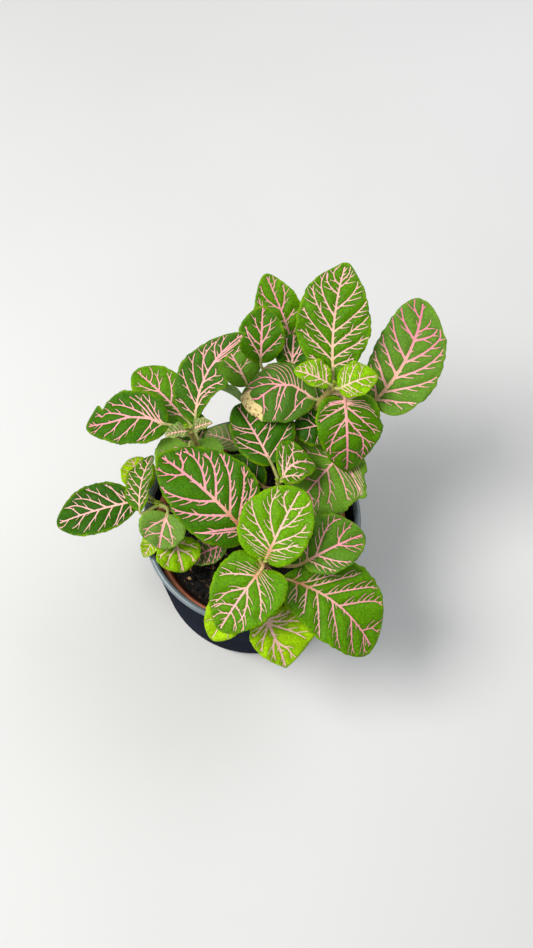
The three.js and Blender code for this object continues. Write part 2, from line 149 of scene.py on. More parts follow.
SHOOTS = {
    "shoot_back_right": (((12, 20, 62), (21, 33, 97), (35, 41, 129)), {
        "N": (0.95, (35, 44, 129), (40, 88, 151), 30,
              dict(cup=1.5, full=0.95, bend=-2.5, side=-0.06)),
        "V": (0.87, (52, 38, 119), (74, 79, 137), 31,
              dict(bend=5, full=0.98, fullRight=0.66, side=0.08, lobe=5, point=0.5)),
        "W": (0.95, (40, 38, 124), (42, 14, 100), 27.5,
              dict(arch=5, cup=-2, full=0.6, side=-0.06, lobe=5)),
        "S": (0.87, (28, 40, 119), (-5, 46, 110), 29,
              dict(arch=6, cup=-4, roll=-8, side=0.15, full=0.95)),
        "T": (1, (33, 41, 131), (18, 46, 134), 12.6, dict(arch=2, side=0.12)),
        "U": (1, (37, 39, 131), (53, 43, 135), 16, dict(arch=2)),
        "X": (0.62, (45, 28, 100), (18, 0, 88), 37, dict(cup=-3, side=-0.05)),
        "LR": (0.4, (27, 44, 95), (45, 65, 91), 20, {}),
        "SX": (0.6, (33.5, 33.5, 109), (18.5, 31.5, 106), 17, dict(arch=2, roll=-28)),
    }),
    "shoot_back": (((2, 26, 62), (6, 38, 88), (14, 55, 107)), {
        "O": (0.9, (20, 72, 104), (6, 100, 126), 23, dict(side=-0.15)),
        "P": (0.95, (4, 62, 112), (5, 85, 123), 21, {}),
        "Q": (0.8, (-2, 57, 100), (-14, 78, 104), 20, {}),
        "R": (1, (18, 60, 109), (19, 76, 114), 16, dict(arch=2)),
        "YB": (0.5, (-4, 30, 92), (-22, 37, 90), 13, dict(arch=2)),
        "LB": (0.4, (11, 48, 86), (22, 70, 84), 18, {}),
        "ES": (0.65, (-3, 47, 100), (-20, 55, 103), 12, dict(arch=2, roll=78, wave=0.3)),
    }),
    "shoot_left": (((-10, 14, 62), (-19, 19, 92), (-26, 25, 120)), {
        "A": (0.96, (-24, 29, 118), (-2, 62, 138), 22,
              dict(arch=4, bend=-5, full=0.62, fullRight=1.5, side=-0.07, pinch=(0.57, 0.6))),
        "B": (0.9, (-36, 30, 115), (-73, 32, 108), 26, dict(arch=4, cup=1, full=0.75, side=0.15)),
        "C": (0.65, (-28, 36, 104), (-53, 61, 107), 24, dict(point=0.55)),
        "LL": (0.4, (-25, 32, 84), (-38, 56, 84), 18, {}),
        "Dr": (1, (-24, 25, 121), (-16, 26, 125), 6, dict(arch=1)),
        "Dl": (1, (-27, 24, 121), (-36, 21, 123), 7, dict(arch=1)),
        "E": (0.72, (-27, 24.5, 108), (-27, 0, 97), 30, dict(arch=5, cup=-2, full=0.55, lobe=6)),
    }),
    "shoot_front": (((2, -8, 62), (4, -22, 88), (5, -29, 107)), {
        "BB": (1, (6, -29, 108), (21, 0, 116), 30.7, dict(point=0.5, side=-0.127, lobe=4)),
        "CC": (1, (5, -31.5, 106.5), (-13, -56, 98), 30.5,
               dict(arch=4, cup=1, full=0.64, point=0.58, side=-0.04, lobe=7)),
        "F": (0.85, (-1, -17, 102), (-40, 17, 112), 37.5,
              dict(arch=4, full=0.78, side=0.05, bend=1.5)),
        "FF": (0.8, (13, -33, 96), (52, -61, 83), 36.5,
               dict(arch=4, cup=0.5, full=1.25, fullRight=1.02, point=0.5, bend=-5, side=-0.09)),
        "GG": (0.78, (22, -28, 101), (48.5, -15, 101), 26, dict(side=-0.15, point=0.55)),
        "EE": (0.5, (7, -45, 90), (15, -68, 78), 30, dict(full=0.7, point=0.9, side=-0.25)),
        "LF": (0.4, (20, -20, 84), (42, -34, 85), 20, {}),
        "DD": (0.45, (-4, -40, 92), (-17, -57, 84), 18, {}),
    }),
    "shoot_front_left": (((-14, 2, 62), (-28, 0, 80), (-40, 0, 96)), {
        "G": (0.9, (-50, 4, 91), (-88, -5, 84), 24, dict(full=0.95)),
        "H": (0.7, (-48, 10, 87), (-56, 26, 87), 16, {}),
        "I": (1, (-49, -3, 96), (-44, 22, 100), 16, dict(roll=-35)),
        "J": (1, (-36, -6, 102), (-40, -19, 92), 21, dict(full=0.65)),
        "K": (0.6, (-34, -13, 88), (-30, -27, 83), 20, dict(arch=2, cup=1)),
        "L": (0.5, (-42, -9, 84), (-48, -20, 82.5), 9, dict(arch=1, cup=1)),
    }),
    "shoot_middle": (((8, 4, 62), (10, 6, 85), (12, 7, 104)), {
        "Y": (1, (9, 15, 106), (-7, 45, 104), 28, dict(side=0.25, full=0.8)),
        "Z": (1, (13, 8, 106), (28, 15, 106), 20, dict(arch=4, bend=-3, side=-0.1)),
        "M": (0.3, (-12, -13, 79), (-28, -20, 76), 14, {}),
        "AA": (0.8, (5, 8, 98), (-10, 22, 98), 14, dict(arch=2)),
        "XB": (0.4, (24, 2, 82), (43, 4, 81), 14, dict(arch=2)),
    }),
}

# How each leaf looks. tone: 0 for the darkest green, 1 for the youngest. grey: its grey bloom,
# partly a painted sheen.
# pale: its veins, from pink to cream. deep: how much pinker they are, and flush: towards its tip.
# cream, brown: how far its midrib turns cream, and brown, at its base, and tan: how far along.
# blush: the pink of its stalk. dry: 1 for a dry edge. rib: the width of its veins against a large
# leaf's. left, right: its side veins, in percent: where each leaves the midrib, and where it ends,
# along the leaf and out to its edge; a bare number leaves the end to the rule. fan: thin side
# veins spread evenly between two. bow, sweep: how much the side veins, and the fan's, bow. twigs:
# how many of the finest veins it has, against the leaf with the most. shape: where an edge stands
# out or draws in (which side, at, length, share). spine: how far the midrib lies to a side.
LOOKS = {
    "N": dict(tan=0.5, tone=0.45, pale=0.55, cream=0.9, bow=0.03, twigs=0.9,
        shape=[(1, 0.4, 0.2, 0.11), (1, 0.93, 0.1, -0.14), (-1, 0.8, 0.1, 0.07),
        (-1, 0.97, 0.05, -0.2)], left=[(7, 20, 80), (16, 40, 85), (26.5, 58, 87), (40, 77, 85),
        (53, 90, 90), 72, 80], right=[(11, 21, 80), (17, 39, 100), (27.5, 56, 100), (40, 68, 95),
        (59, 84, 85), 78, 83]),
    "V": dict(tan=0.5, rib=1.12, flush=0.7, tone=0.45, pale=0.3, cream=0.8, brown=0.3, grey=0.15,
        twigs=0.4, shape=[(1, 0.74, 0.07, 0.09), (1, 0.2, 0.1, -0.05)], left=[4, (17.5, 42, 100),
        (30.5, 57, 100), (45.5, 73, 100), (64, 85, 100), 83], right=[(4, 20, 93), (12.5, 44, 93),
        (27, 66, 92), (42.5, 81, 87), (63.5, 80, 70), (71, 86, 50)]),
    "W": dict(blush=1, flush=0.45, sweep=0.3, tone=0.4, pale=0.2, rib=0.9, twigs=0.6,
        shape=[(-1, 0.47, 0.12, 0.13)], left=[(8, 48, 80), (22, 75, 70), 40, 64], right=[(3, 8, 70),
        (8, 30, 85), (22, 70, 80), 43, 62], fan=[(-1, 5, (1, 2, 70), (7, 30, 90)),
        (1, 4, (1, 0, 60), (5, 20, 90))]),
    "S": dict(flush=0.5, sweep=0.3, tone=0.28, pale=0.25, grey=0.1, dry=1, twigs=0.15,
        spine=[(0, 0), (0.12, 0.22), (0.3, 0.33), (0.5, 0.23), (0.62, 0), (0.72, -0.2), (1, -0.3)],
        left=[8, (22, 24, 62), (37, 50, 92), (44, 47, 55), (64, 62, 75)], right=[(40, 96, 35),
        (38, 91, 75)], fan=[(1, 6, (18, 26, 92), (38, 82, 93))]),
    "T": dict(tone=0.8, pale=0.6, rib=0.65, cream=0.8, twigs=0.15,
        fan=[(1, 6, (10, 35, 90), (60, 90, 60))], left=[10, (28, 65, 80), 60]),
    "U": dict(tone=0.82, pale=0.8, rib=0.65, cream=0.8, twigs=0.15, left=[5, 14, (26, 60, 85), 55],
        right=[4, 12, (22, 50, 85), (45, 75, 70), 70]),
    "X": dict(flush=0.25, sweep=0.25, tone=0.55, pale=0.3, grey=0.15, twigs=0.35,
        shape=[(1, 0.35, 0.18, 0.12), (-1, 0.2, 0.05, -0.1), (-1, 0.35, 0.05, 0.09),
        (-1, 0.5, 0.06, -0.04)], left=[12, (30, 50, 85), (40, 68, 60), (55, 80, 50), 72], right=[10,
        25, 42, 58, 74], fan=[(-1, 7, (10, 22, 90), (30, 45, 92))]),
    "SX": dict(tone=0.12, brown=0.6, rib=0.6, twigs=0.1, left=[20, 50], right=[(15, 50, 80),
        (35, 75, 70)]),
    "O": dict(flush=0.3, tone=0.5, pale=0.25, shape=[(-1, 0.42, 0.28, 0.13)], twigs=0.5, left=[20,
        (30, 78, 80), 40, (55.5, 89, 70)], right=[20, (40, 50, 60), (53, 80, 75), 80]),
    "P": dict(flush=0.2, tone=0.33, pale=0.2, rib=0.85, twigs=0.25, left=[(7, 60, 70), (30, 62, 80),
        (48, 77, 40)], right=[(10, 50, 85), (32, 77, 50), 60]),
    "Q": dict(shape=[(1, 0.4, 0.3, 0.12)], tone=0.45, rib=0.8, grey=0.1, brown=0.2, twigs=0.15,
        left=[(20, 75, 60), (50, 90, 50)], right=[30, 60]),
    "R": dict(tone=0.2, rib=0.95, twigs=0.1, left=[(5, 70, 60), (30, 85, 60)], right=[(5, 70, 60),
        (30, 85, 60)]),
    "A": dict(tone=0.26, pale=0.3, grey=0.04, cream=0.9, twigs=0.3, shape=[(1, 0.6, 0.04, -0.42),
        (1, 0.48, 0.07, 0.16)], left=[(6.5, 15, 75), (16, 40, 85), (28, 59, 85), (41, 78, 75), 50,
        64, 72], right=[(13, 36, 60), (23.5, 52, 72), (38, 56, 45), (56, 80, 80), (64, 90, 70),
        (72, 95, 50)]),
    "B": dict(flush=0.35, tone=0.27, pale=0.2, shape=[(1, 0.79, 0.03, -0.28), (1, 0.87, 0.04, 0.2)],
        twigs=0.3, spine=[(0, 0), (0.2, 0.15), (0.45, 0.15), (0.7, 0), (1, 0)], left=[5,
        (17, 30, 85), (32, 59, 85), (54, 71, 70), 76], right=[5, (10, 40, 85), (17, 46, 80),
        (20, 67, 65), (42, 88, 50)]),
    "C": dict(flush=0.2, tone=0.45, pale=0.3, twigs=0.3, left=[(10, 70, 85), (54, 82, 50), 30],
        right=[(33, 66, 80), (55, 76, 50), 72]),
    "E": dict(tone=0.6, pale=0.35, grey=0.25, rib=0.7, twigs=0.15),
    "BB": dict(sweep=0.22, tone=0.62, pale=0.75, brown=0.8, cream=1, twigs=0.8, left=[(13, 31, 90),
        (16.5, 60, 95), (29, 86, 70), (64, 90, 50)], right=[(13, 37, 75), (22, 60, 75),
        (42, 80, 50), 70], fan=[(-1, 4, (1, 2, 50), (10, 20, 85)),
        (1, 4, (1, 2, 50), (10, 22, 85))]),
    "CC": dict(sweep=0.14, tone=0.5, pale=0.5, brown=0.8, cream=1, twigs=0.7, left=[(12.5, 56, 80),
        (32, 75, 50), 59, 70], right=[(12.5, 43, 85), (32, 70, 65), 60, 73],
        fan=[(-1, 5, (1, 0, 50), (10, 40, 85)), (1, 4, (2, 2, 50), (10, 26, 85))]),
    "F": dict(flush=0.3, tan=0.5, tone=0.3, pale=0.15, brown=1, cream=0.8, rib=1.15, twigs=0.8,
        left=[5, (10, 34, 100), (23, 60, 100), (39, 79, 95), (72, 92, 75)], right=[4, (13, 42, 100),
        (23, 63, 92), (39.5, 72, 80), (51, 86, 72), (76, 90, 60)]),
    "FF": dict(flush=0.5, tan=0.45, tone=0.47, pale=0.45, brown=0.95, cream=0.9, bow=0, twigs=1,
        left=[(8, 12, 45), (14.5, 35, 60), (22, 52, 85), (36.5, 72, 95), (53, 84, 95), 82],
        right=[(12, 22, 65), (21.5, 32, 75), (30, 54, 93), (45.5, 74, 90), (67.5, 88, 85), 85]),
    "GG": dict(flush=0.55, tone=0.4, pale=0.3, grey=0.1, brown=0.4, twigs=0.8, left=[5,
        (20, 77, 85), (56, 85, 50)], right=[8, (22, 60, 90), (56, 87, 60)]),
    "EE": dict(tone=0.92, pale=0.8, cream=0.2, rib=1.05, bow=-0.02, twigs=0.4, spine=[(0, 0),
        (0.15, 0.15), (0.6, 0.05), (1, 0)], left=[(15, 16, 80), (16, 36, 80), (18, 60, 72),
        (50, 85, 50)], right=[(14, 10, 75), (15, 32, 85), (17, 58, 80), (45, 80, 60)]),
    "DD": dict(tone=0.95, pale=0.8, rib=0.6, twigs=0, left=[20, 55], right=[20, 55]),
    "G": dict(tan=0.45, tone=0.16, pale=0.6, cream=0.4, bow=0.06, twigs=0.12, left=[4,
        (9.5, 13, 80), (18.5, 33, 90), (30, 50, 90), (46, 68, 80), (62.5, 80, 60), 84], right=[8,
        (16, 30, 85), (24, 57, 90), (37, 70, 75), (52, 82, 65), 69]),
    "H": dict(tone=1, pale=0.6, rib=0.7, cream=0.5, twigs=0),
    "I": dict(tone=0.35, pale=0.6, rib=0.8, twigs=0.2),
    "J": dict(tone=0.5, pale=0.3, grey=0.3, rib=1, twigs=0.15, left=[(12, 70, 70), 55],
        right=[(12, 60, 75), 50]),
    "K": dict(tone=0.85, pale=0.8, rib=0.95, twigs=0.1, left=[(8, 45, 85), (30, 75, 70)],
        right=[(8, 45, 85), (25, 72, 70)]),
    "L": dict(tone=0.95, pale=0.8, rib=0.5, twigs=0),
    "Y": dict(tone=0.24, pale=0.4, twigs=0.35, left=[(10, 50, 90), (30, 52, 80), (46, 68, 80), 53],
        right=[8, (25, 57, 60), 41, 60]),
    "Z": dict(tone=0.4, pale=0.5, rib=0.85, twigs=0.6, left=[(5, 43, 80), (15, 80, 60), 45],
        right=[(3, 50, 80), (37, 65, 50)]),
    "M": dict(tone=0.22, grey=0.2, rib=0.9, deep=0.45, twigs=0.3),
    "AA": dict(tone=0.1, rib=0.5, brown=0.8, twigs=0, left=[20, 50], right=[20, 50]),
    "YB": dict(tone=0.4, grey=0.6, brown=0.8, rib=0.6, twigs=0),
    "ES": dict(tone=0.3, grey=0.3, brown=0.6, rib=0.6, twigs=0),
    "Dr": dict(tone=0.5, grey=0.4, rib=0.5, twigs=0),
    "Dl": dict(tone=0.5, grey=0.4, rib=0.5, twigs=0),
}
PLAIN_LOOK = dict(shape=(), tone=0.3, grey=0, pale=0.4, cream=0.4, brown=0, bow=0.08, rib=0.8,
    dry=0, deep=0, flush=0.1, blush=0, tan=0.3, sweep=0.12, twigs=0.3, spine=[(0, 0), (1, 0)],
    left=[8, 22, 37, 52, 68, 82], right=[5, 19, 34, 50, 66, 80], fan=[])
BUD_LOOK = {**PLAIN_LOOK, "tone": 0.9, "rib": 0.3, "left": [30], "right": [30]}

# Leaf veins, in millimetres: half widths at the root and the end, and how twigs stand on them
MIDRIB_WIDTH = (0.72, 0.34)
SIDE_WIDTH = (0.46, 0.2)
LESSER_WIDTH = tuple(0.75 * width for width in SIDE_WIDTH)
FAN_WIDTH = (0.18, 0.1)
TWIG_WIDTH = (0.28, 0.1)
THORN_WIDTH = (0.15, 0.05)
TWIG_GAP = 1.0
THORN_GAP = 0.9
TWIG_REACH = 6.5
SPUR_LENGTH = 3.6
MIDRIB_END = 0.955
VEIN_END = 0.945
VEIN_STEP = 0.5
VEIN_CELL = 1.5
VEIN_SAMPLES = 24
MIDRIB_SAMPLES = 60
DIRECTION_REACH = 0.4
KINK = 0.22
KINK_PLACES = (0, 0.3, 0.6, 0.85, 1)
LIMIT_ROWS = 200
# The width from which a leaf's twigs have their full length, and from which its relief is full
GRAIN_WIDTH = 27
RELIEF_WIDTH = 24

# A leaf's net, in millimetres: how far apart its points lie along the outline, on the veins, on
# their banks and between them, and how far a point may be off its place
OUTLINE_SAMPLES = 240
OUTLINE_STEP = 0.6
OUTLINE_LEAST = 12
NET_CELL = 1.2
VEIN_GAP = 0.26
BANK_GAP = 0.27
BANK_OFFSET, BANK_LEAST = 0.13, 0.32
GRID_STEP = 1.0
GRID_GAP = 0.62
STRAY = 0.03
FAR = 9.0
# Its relief and thickness: the quilting between veins, the veins above and the ridges below
QUILT = 0.85
VEIN_RELIEF = 0.12
RIB_RIDGE, VEIN_RIDGE = 0.55, 0.2
HALF_THICKNESS = 0.22
RIM_HALF_THICKNESS = 0.1


def unit(a):
    a = np.asarray(a, float)
    return a / np.linalg.norm(a)


def smooth(low, high, x):
    t = np.clip((x - low) / (high - low), 0, 1)
    return t * t * (3 - 2 * t)


# A curve from a to c, drawn towards b
def curve(a, b, c, t):
    return (1 - t) ** 2 * a + 2 * t * (1 - t) * b + t * t * c


# How far along a line each of its points lies
def arc_length(points):
    return np.concatenate([[0], np.cumsum(np.linalg.norm(np.diff(points, axis=0), axis=1))])


def sample(points, arc, where):
    return np.stack([np.interp(where, arc, column) for column in points.T], -1)


# Where a line is at a distance along it, and which way it runs there
def follow(points, arc, distance, reach):
    place, ahead, behind = (sample(points, arc, distance + by) for by in (0, reach, -reach))
    return place, unit(ahead - behind)


def even_points(points, step):
    arc = arc_length(points)
    return sample(points, arc, np.linspace(0, arc[-1], max(2, int(round(arc[-1] / step)) + 1)))


# A blade as a surface: u from base to tip, v from -1 at its left edge to 1 at its right one
class Blade:
    def __init__(self, row, phase, dice, shape=()):
        self.at, base, tip, self.width, own = row
        self.shape = shape
        self.form = {**BLADE, **own}
        self.phase = phase
        self.base = np.array(base, float)
        span = np.array(tip, float) - self.base
        self.length = np.linalg.norm(span)
        self.along = unit(span)
        up = np.array([0, 0, 1.0])
        level_up = unit(up - up @ self.along * self.along)
        level_right = np.cross(self.along, level_up)
        turn = math.radians(self.form["roll"])
        self.up = level_up * math.cos(turn) + level_right * math.sin(turn)
        self.right = level_right * math.cos(turn) - level_up * math.sin(turn)
        self.ripples = [(dice.uniform(few, many), dice.random(), height)
                        for few, many, height in RIPPLES]

    # The blade's width at a place against its full width
    def share(self, u, v):
        form = self.form
        side = np.sign(v)
        full = np.where(v > 0, form["fullRight"] or form["full"], form["full"])
        outline = np.sin(math.pi * u ** full) ** form["point"] * (1 + form["side"] * side)
        at, by = form["pinch"]
        outline = outline * np.where(v > 0, 1 - by * smooth(at - 0.07, at + 0.03, u), 1)
        for where, at, size, amount in self.shape:
            outline = outline * (1 + amount * np.exp(-((u - at) / size) ** 2) * (side == where))
        ripple = sum(height * np.sin(2 * math.pi * (count * u + start + RIPPLE_SHIFT * side))
                     for count, start, height in self.ripples)
        return outline * (1 + ripple * v ** 4 * smooth(0, 0.15, u) * smooth(1, 0.85, u))

    def midrib(self, u):
        u = np.asarray(u, float)[..., None]
        bow = 4 * u * (1 - u)
        return (self.base + self.along * self.length * u + self.up * self.form["arch"] * bow
                + self.right * self.form["bend"] * bow)

    # How far the lobes at the base reach back beside the petiole
    def back(self, u, v, share):
        return self.form["lobe"] * v * v * (1 - u) ** 3 * share

    def flat(self, u, v):
        share = self.share(u, v)
        return np.stack([v * share * self.width / 2, self.length * u - self.back(u, v, share)], -1)

    def point(self, u, v):
        form = self.form
        share = self.share(u, v)
        turns = form["waves"] * u + self.phase + np.where(v > 0, 0.5, 0)
        wave = form["wave"] * v * v * np.sin(2 * math.pi * turns) * np.sin(math.pi * u)
        lift = form["cup"] * np.abs(v) * share + wave
        out = v * share * self.width / 2
        return (self.midrib(u) + self.right * out[:, None] + self.up * lift[:, None]
                - self.along * self.back(u, v, share)[:, None])

    # The u and v of flat points, and how far off each is
    def unflat(self, xy):
        x, y = xy.T
        u = np.clip(y / self.length, 0.01, 0.99)
        v = np.zeros_like(u)
        for _ in range(24):
            share = self.share(u, np.where(v == 0, np.sign(x), v))
            v = 0.4 * v + 0.6 * np.clip(x / (share * self.width / 2), -1.2, 1.2)
            u = 0.4 * u + 0.6 * np.clip((y + self.back(u, v, share)) / self.length, *ENDS)
        return u, v, np.linalg.norm(self.flat(u, v) - xy, axis=1)

    def heading(self):
        form = self.form
        return unit(self.along * self.length + self.up * 4 * form["arch"]
                    + self.right * 4 * form["bend"])


# Points kept apart from each other, found by the square they lie in
class Crowd:
    def __init__(self, cell):
        self.cell = cell
        self.squares = {}

    def square(self, x, y):
        return int(x // self.cell), int(y // self.cell)

    def near(self, x, y, gap, skip=None):
        i, j = self.square(x, y)
        for a in (i - 1, i, i + 1):
            for b in (j - 1, j, j + 1):
                for px, py, owner in self.squares.get((a, b), ()):
                    if owner != skip and (px - x) ** 2 + (py - y) ** 2 < gap * gap:
                        return True
        return False

    def add(self, x, y, owner=0):
        self.squares.setdefault(self.square(x, y), []).append((x, y, owner))


class Vein:
    def __init__(self, points, widths, rank):
        self.points = points
        self.arc = arc_length(points)
        self.length = self.arc[-1]
        self.widths = widths[0] + (widths[1] - widths[0]) * self.arc / max(self.length, 1e-6)
        self.rank = rank


# The veins of a leaf, drawn on the blade laid flat
def leaf_veins(blade, look, dice):
    spine_u, spine_v = np.array(look["spine"], float).T
    scale = look["rib"] * min(1, 0.55 + blade.width / 60)
    draw = dice.uniform
    crowd = Crowd(VEIN_CELL)
    veins = []

    def spine(u):
        return np.interp(u, spine_u, spine_v)

    def shares(entry):
        return [part / 100 for part in entry]

    def put(points, pair, rank):
        veins.append(Vein(points, [width * scale for width in pair], rank))
        for x, y in points:
            crowd.add(x, y, len(veins) - 1)

    def side_vein(side, start, end, out, pair, bow, rank):
        t = np.linspace(0, 1, VEIN_SAMPLES)
        first, last = spine(start), side * min(out, VEIN_END)
        u = curve(start, start + (end - start) * (0.5 - bow), end, t)
        v = curve(first, first + (last - first) * (0.5 + bow), last, t)
        points = even_points(blade.flat(np.clip(u, 0.006, 0.985), v), VEIN_STEP)
        kinks = [[draw(-KINK, KINK), draw(-KINK, KINK)] for _ in KINK_PLACES[1:]]
        bends = sample(np.array([[0, 0], *kinks]), KINK_PLACES, np.linspace(0, 1, len(points)))
        put(points + bends, pair, rank)

    u = np.linspace(ENDS[0], MIDRIB_END, MIDRIB_SAMPLES)
    put(even_points(blade.flat(u, spine(u)), VEIN_STEP), MIDRIB_WIDTH, 0)
    main = []
    for side, entries in ((-1, look["left"]), (1, look["right"])):
        for entry in entries:
            pair = LESSER_WIDTH
            if isinstance(entry, tuple):
                start, end, out = shares(entry)
                if start < 0.7:
                    pair = SIDE_WIDTH
            else:
                start = entry / 100
                end = start + 0.27 * (1 - 0.75 * start * start)
                out = 0.9 - 0.9 * max(0, start - 0.6)
            main.append((len(veins), side))
            side_vein(side, start, end, out, pair, look["bow"], 1)
    for side, count, first, last in look["fan"]:
        for k in range(count):
            ends = zip(shares(first), shares(last))
            place = (a + (b - a) * k / max(count - 1, 1) for a, b in ends)
            side_vein(side, *place, FAN_WIDTH, look["sweep"], 2)

    # How far out a vein may lie at each height, from the curves along which it would end
    u = np.linspace(0.02, 0.985, LIMIT_ROWS)
    heights = np.linspace(0, blade.length, LIMIT_ROWS)
    limits = {}
    for side in (-1, 1):
        x, y = blade.flat(u, np.full_like(u, side * VEIN_END)).T
        order = np.argsort(y)
        limits[side] = np.interp(heights, y[order], np.abs(x[order]), right=0)

    def within(x, y):
        row = int(y / blade.length * (LIMIT_ROWS - 1))
        return 0 <= row < LIMIT_ROWS and abs(x) < limits[1 if x > 0 else -1][row]

    many = look["twigs"]
    if blade.width < SMALL_BLADE or not many:
        return veins
    grain = min(1, max(0.5, blade.width / GRAIN_WIDTH))
    spread = grain * (1.9 - 0.9 * many)

    def twig(parent, distance, side, angle, length, pair=TWIG_WIDTH, rank=2, gap=TWIG_GAP):
        (x, y), ahead = follow(veins[parent].points, veins[parent].arc, distance, DIRECTION_REACH)
        step = min(VEIN_STEP, length / 3)
        curl = -side * draw(0.02, 0.07)
        bearing = math.atan2(ahead[1], ahead[0]) + side * math.radians(angle)
        points = [(x, y)]
        while len(points) * step < length:
            x += step * math.cos(bearing)
            y += step * math.sin(bearing)
            bearing += curl + draw(-0.03, 0.03)
            if not within(x, y) or crowd.near(x, y, gap * grain, parent):
                break
            points.append((x, y))
        if len(points) > 2:
            put(np.array(points), pair, rank)

    # Distances along a vein, the next one drawn when its turn comes, up to a little before its end
    def stops(parent, first, step, short):
        while first < veins[parent].length - short:
            yield first
            first += draw(*step) * spread

    # Twigs stand on the side veins, mostly on the side towards the base; short thorns stand on both
    reach = TWIG_REACH * grain * (0.55 + 0.45 * many)
    for parent, side in main:
        for distance in stops(parent, draw(1.8, 3.0) * spread, (2.5, 3.4), 0.6):
            twig(parent, distance, -side, draw(37, 45), reach * draw(0.85, 1.15))
        length = veins[parent].length
        if length > 8 and many > 0.4:
            for share in (0.55, 0.8):
                distance = length * (share + draw(-0.08, 0.08))
                twig(parent, distance, side, draw(28, 40), SPUR_LENGTH * grain)
    for side in (-1, 1):
        twig(0, veins[0].length - 2.2, side, 34, 3)
        for distance in stops(0, draw(3, 5), (3.0, 5.0), 2):
            twig(0, distance, side, draw(45, 60), draw(1.4, 3.2) * grain)
    if many < 0.5:
        return veins
    for parent in [0] + [index for index, _ in main]:
        for side in (-1, 1):
            for distance in stops(parent, draw(0.8, 2.5), (3.2, 5.6), 0.4):
                angle, length = draw(50, 70), draw(0.8, 1.5)
                twig(parent, distance, side, angle, length, THORN_WIDTH, 3, THORN_GAP)
    return veins


# Signed distances from points to the nearest edge of some veins, and to their nearest centre line
def vein_distance(points, veins):
    best, centre = np.full((2, len(points)), FAR)
    for vein in veins:
        a, ab = vein.points[:-1], np.diff(vein.points, axis=0)
        low, high = vein.points.min(0) - 4, vein.points.max(0) + 4
        near = np.where(((points > low) & (points < high)).all(1))[0]
        p = points[near][:, None]
        t = np.clip(((p - a) * ab).sum(-1) / np.maximum((ab * ab).sum(-1), 1e-9), 0, 1)
        away = np.linalg.norm(p - (a + ab * t[..., None]), axis=-1)
        edge = away - (vein.widths[:-1] + np.diff(vein.widths) * t)
        best[near] = np.minimum(best[near], edge.min(1))
        centre[near] = np.minimum(centre[near], away.min(1))
    return best, centre


def inside(points, loop):
    x, y = points.T
    odd = np.zeros(len(points), bool)
    for (x0, y0), (x1, y1) in zip(loop, np.roll(loop, -1, axis=0)):
        if y0 != y1:
            odd ^= ((y0 > y) != (y1 > y)) & (x < (x1 - x0) * (y - y0) / (y1 - y0) + x0)
    return odd


# The triangles of a leaf laid flat: dense along its veins, coarse between them
def leaf_net(blade, veins):
    u = np.clip(0.5 - 0.5 * np.cos(math.pi * np.linspace(0, 1, OUTLINE_SAMPLES)), *ENDS)
    right = blade.flat(u, np.ones_like(u))
    u_loop, v_loop = [], []
    for side, row, end in ((1, -1, ENDS[1]), (-1, 0, ENDS[0])):
        arc = arc_length(blade.flat(u, np.full_like(u, side)))
        count = max(OUTLINE_LEAST, int(arc[-1] / OUTLINE_STEP))
        here = np.interp(np.linspace(0, arc[-1], count), arc, u)[::side]
        across = np.linspace(side, -side, max(3, int(2 * right[row][0] / OUTLINE_STEP) + 2))[1:-1]
        u_loop += [here, np.full(len(across), end)]
        v_loop += [np.full_like(here, side), across]
    u_loop, v_loop = np.concatenate(u_loop), np.concatenate(v_loop)
    loop = blade.flat(u_loop, v_loop)
    # The two corners where a straight run meets a side are listed twice
    keep = np.linalg.norm(loop - np.roll(loop, 1, axis=0), axis=1) > 0.05
    u_loop, v_loop, loop = u_loop[keep], v_loop[keep], loop[keep]

    crowd = Crowd(NET_CELL)
    for x, y in loop:
        crowd.add(x, y)
    chosen = []

    def offer(points, gap):
        for x, y in points:
            if not crowd.near(x, y, gap):
                crowd.add(x, y)
                chosen.append((x, y))

    ranked = sorted(veins, key=lambda vein: vein.rank)
    for vein in ranked:
        offer(vein.points, VEIN_GAP)
    for vein in ranked:
        along = np.gradient(vein.points, axis=0)
        along /= np.linalg.norm(along, axis=1)[:, None]
        normal = np.stack([along[:, 1], -along[:, 0]], -1)
        for side in (-1, 1):
            out = np.maximum(vein.widths + BANK_OFFSET, BANK_LEAST)[:, None]
            offer(vein.points + side * normal * out, BANK_GAP)
    low, high = loop.min(0), loop.max(0)
    for k, y in enumerate(np.arange(low[1], high[1], GRID_STEP * 0.87)):
        xs = np.arange(low[0] + (k % 2) * GRID_STEP / 2, high[0], GRID_STEP)
        offer([(x, y) for x in xs], GRID_GAP)
    inner = np.array(chosen)
    inner = inner[inside(inner, loop)]
    u, v, off = blade.unflat(inner)
    good = (off < STRAY) & (np.abs(v) < 0.99)
    points = np.concatenate([loop, inner[good]])
    rim = len(loop)
    edges = [(k, (k + 1) % rim) for k in range(rim)]
    _, _, faces, origin, _, _ = delaunay_2d_cdt([tuple(p) for p in points], edges, [], 1, 1e-5)
    sources = np.array([ids[0] if ids else -1 for ids in origin])
    faces = sources[np.array([face for face in faces if len(face) == 3])]
    faces = faces[(faces >= 0).all(1)]
    a, b, c = (points[faces[:, k]] for k in range(3))
    turn = (b - a)[:, 0] * (c - a)[:, 1] - (b - a)[:, 1] * (c - a)[:, 0]
    faces[turn < 0] = faces[turn < 0][:, ::-1]
    return points, np.concatenate([u_loop, u[good]]), np.concatenate([v_loop, v[good]]), faces, rim


# What gathers the points, triangles and values of one piece
VALUES = ("vein", "edge", "tone", "grey", "pale", "cream", "brown", "dry", "deep")


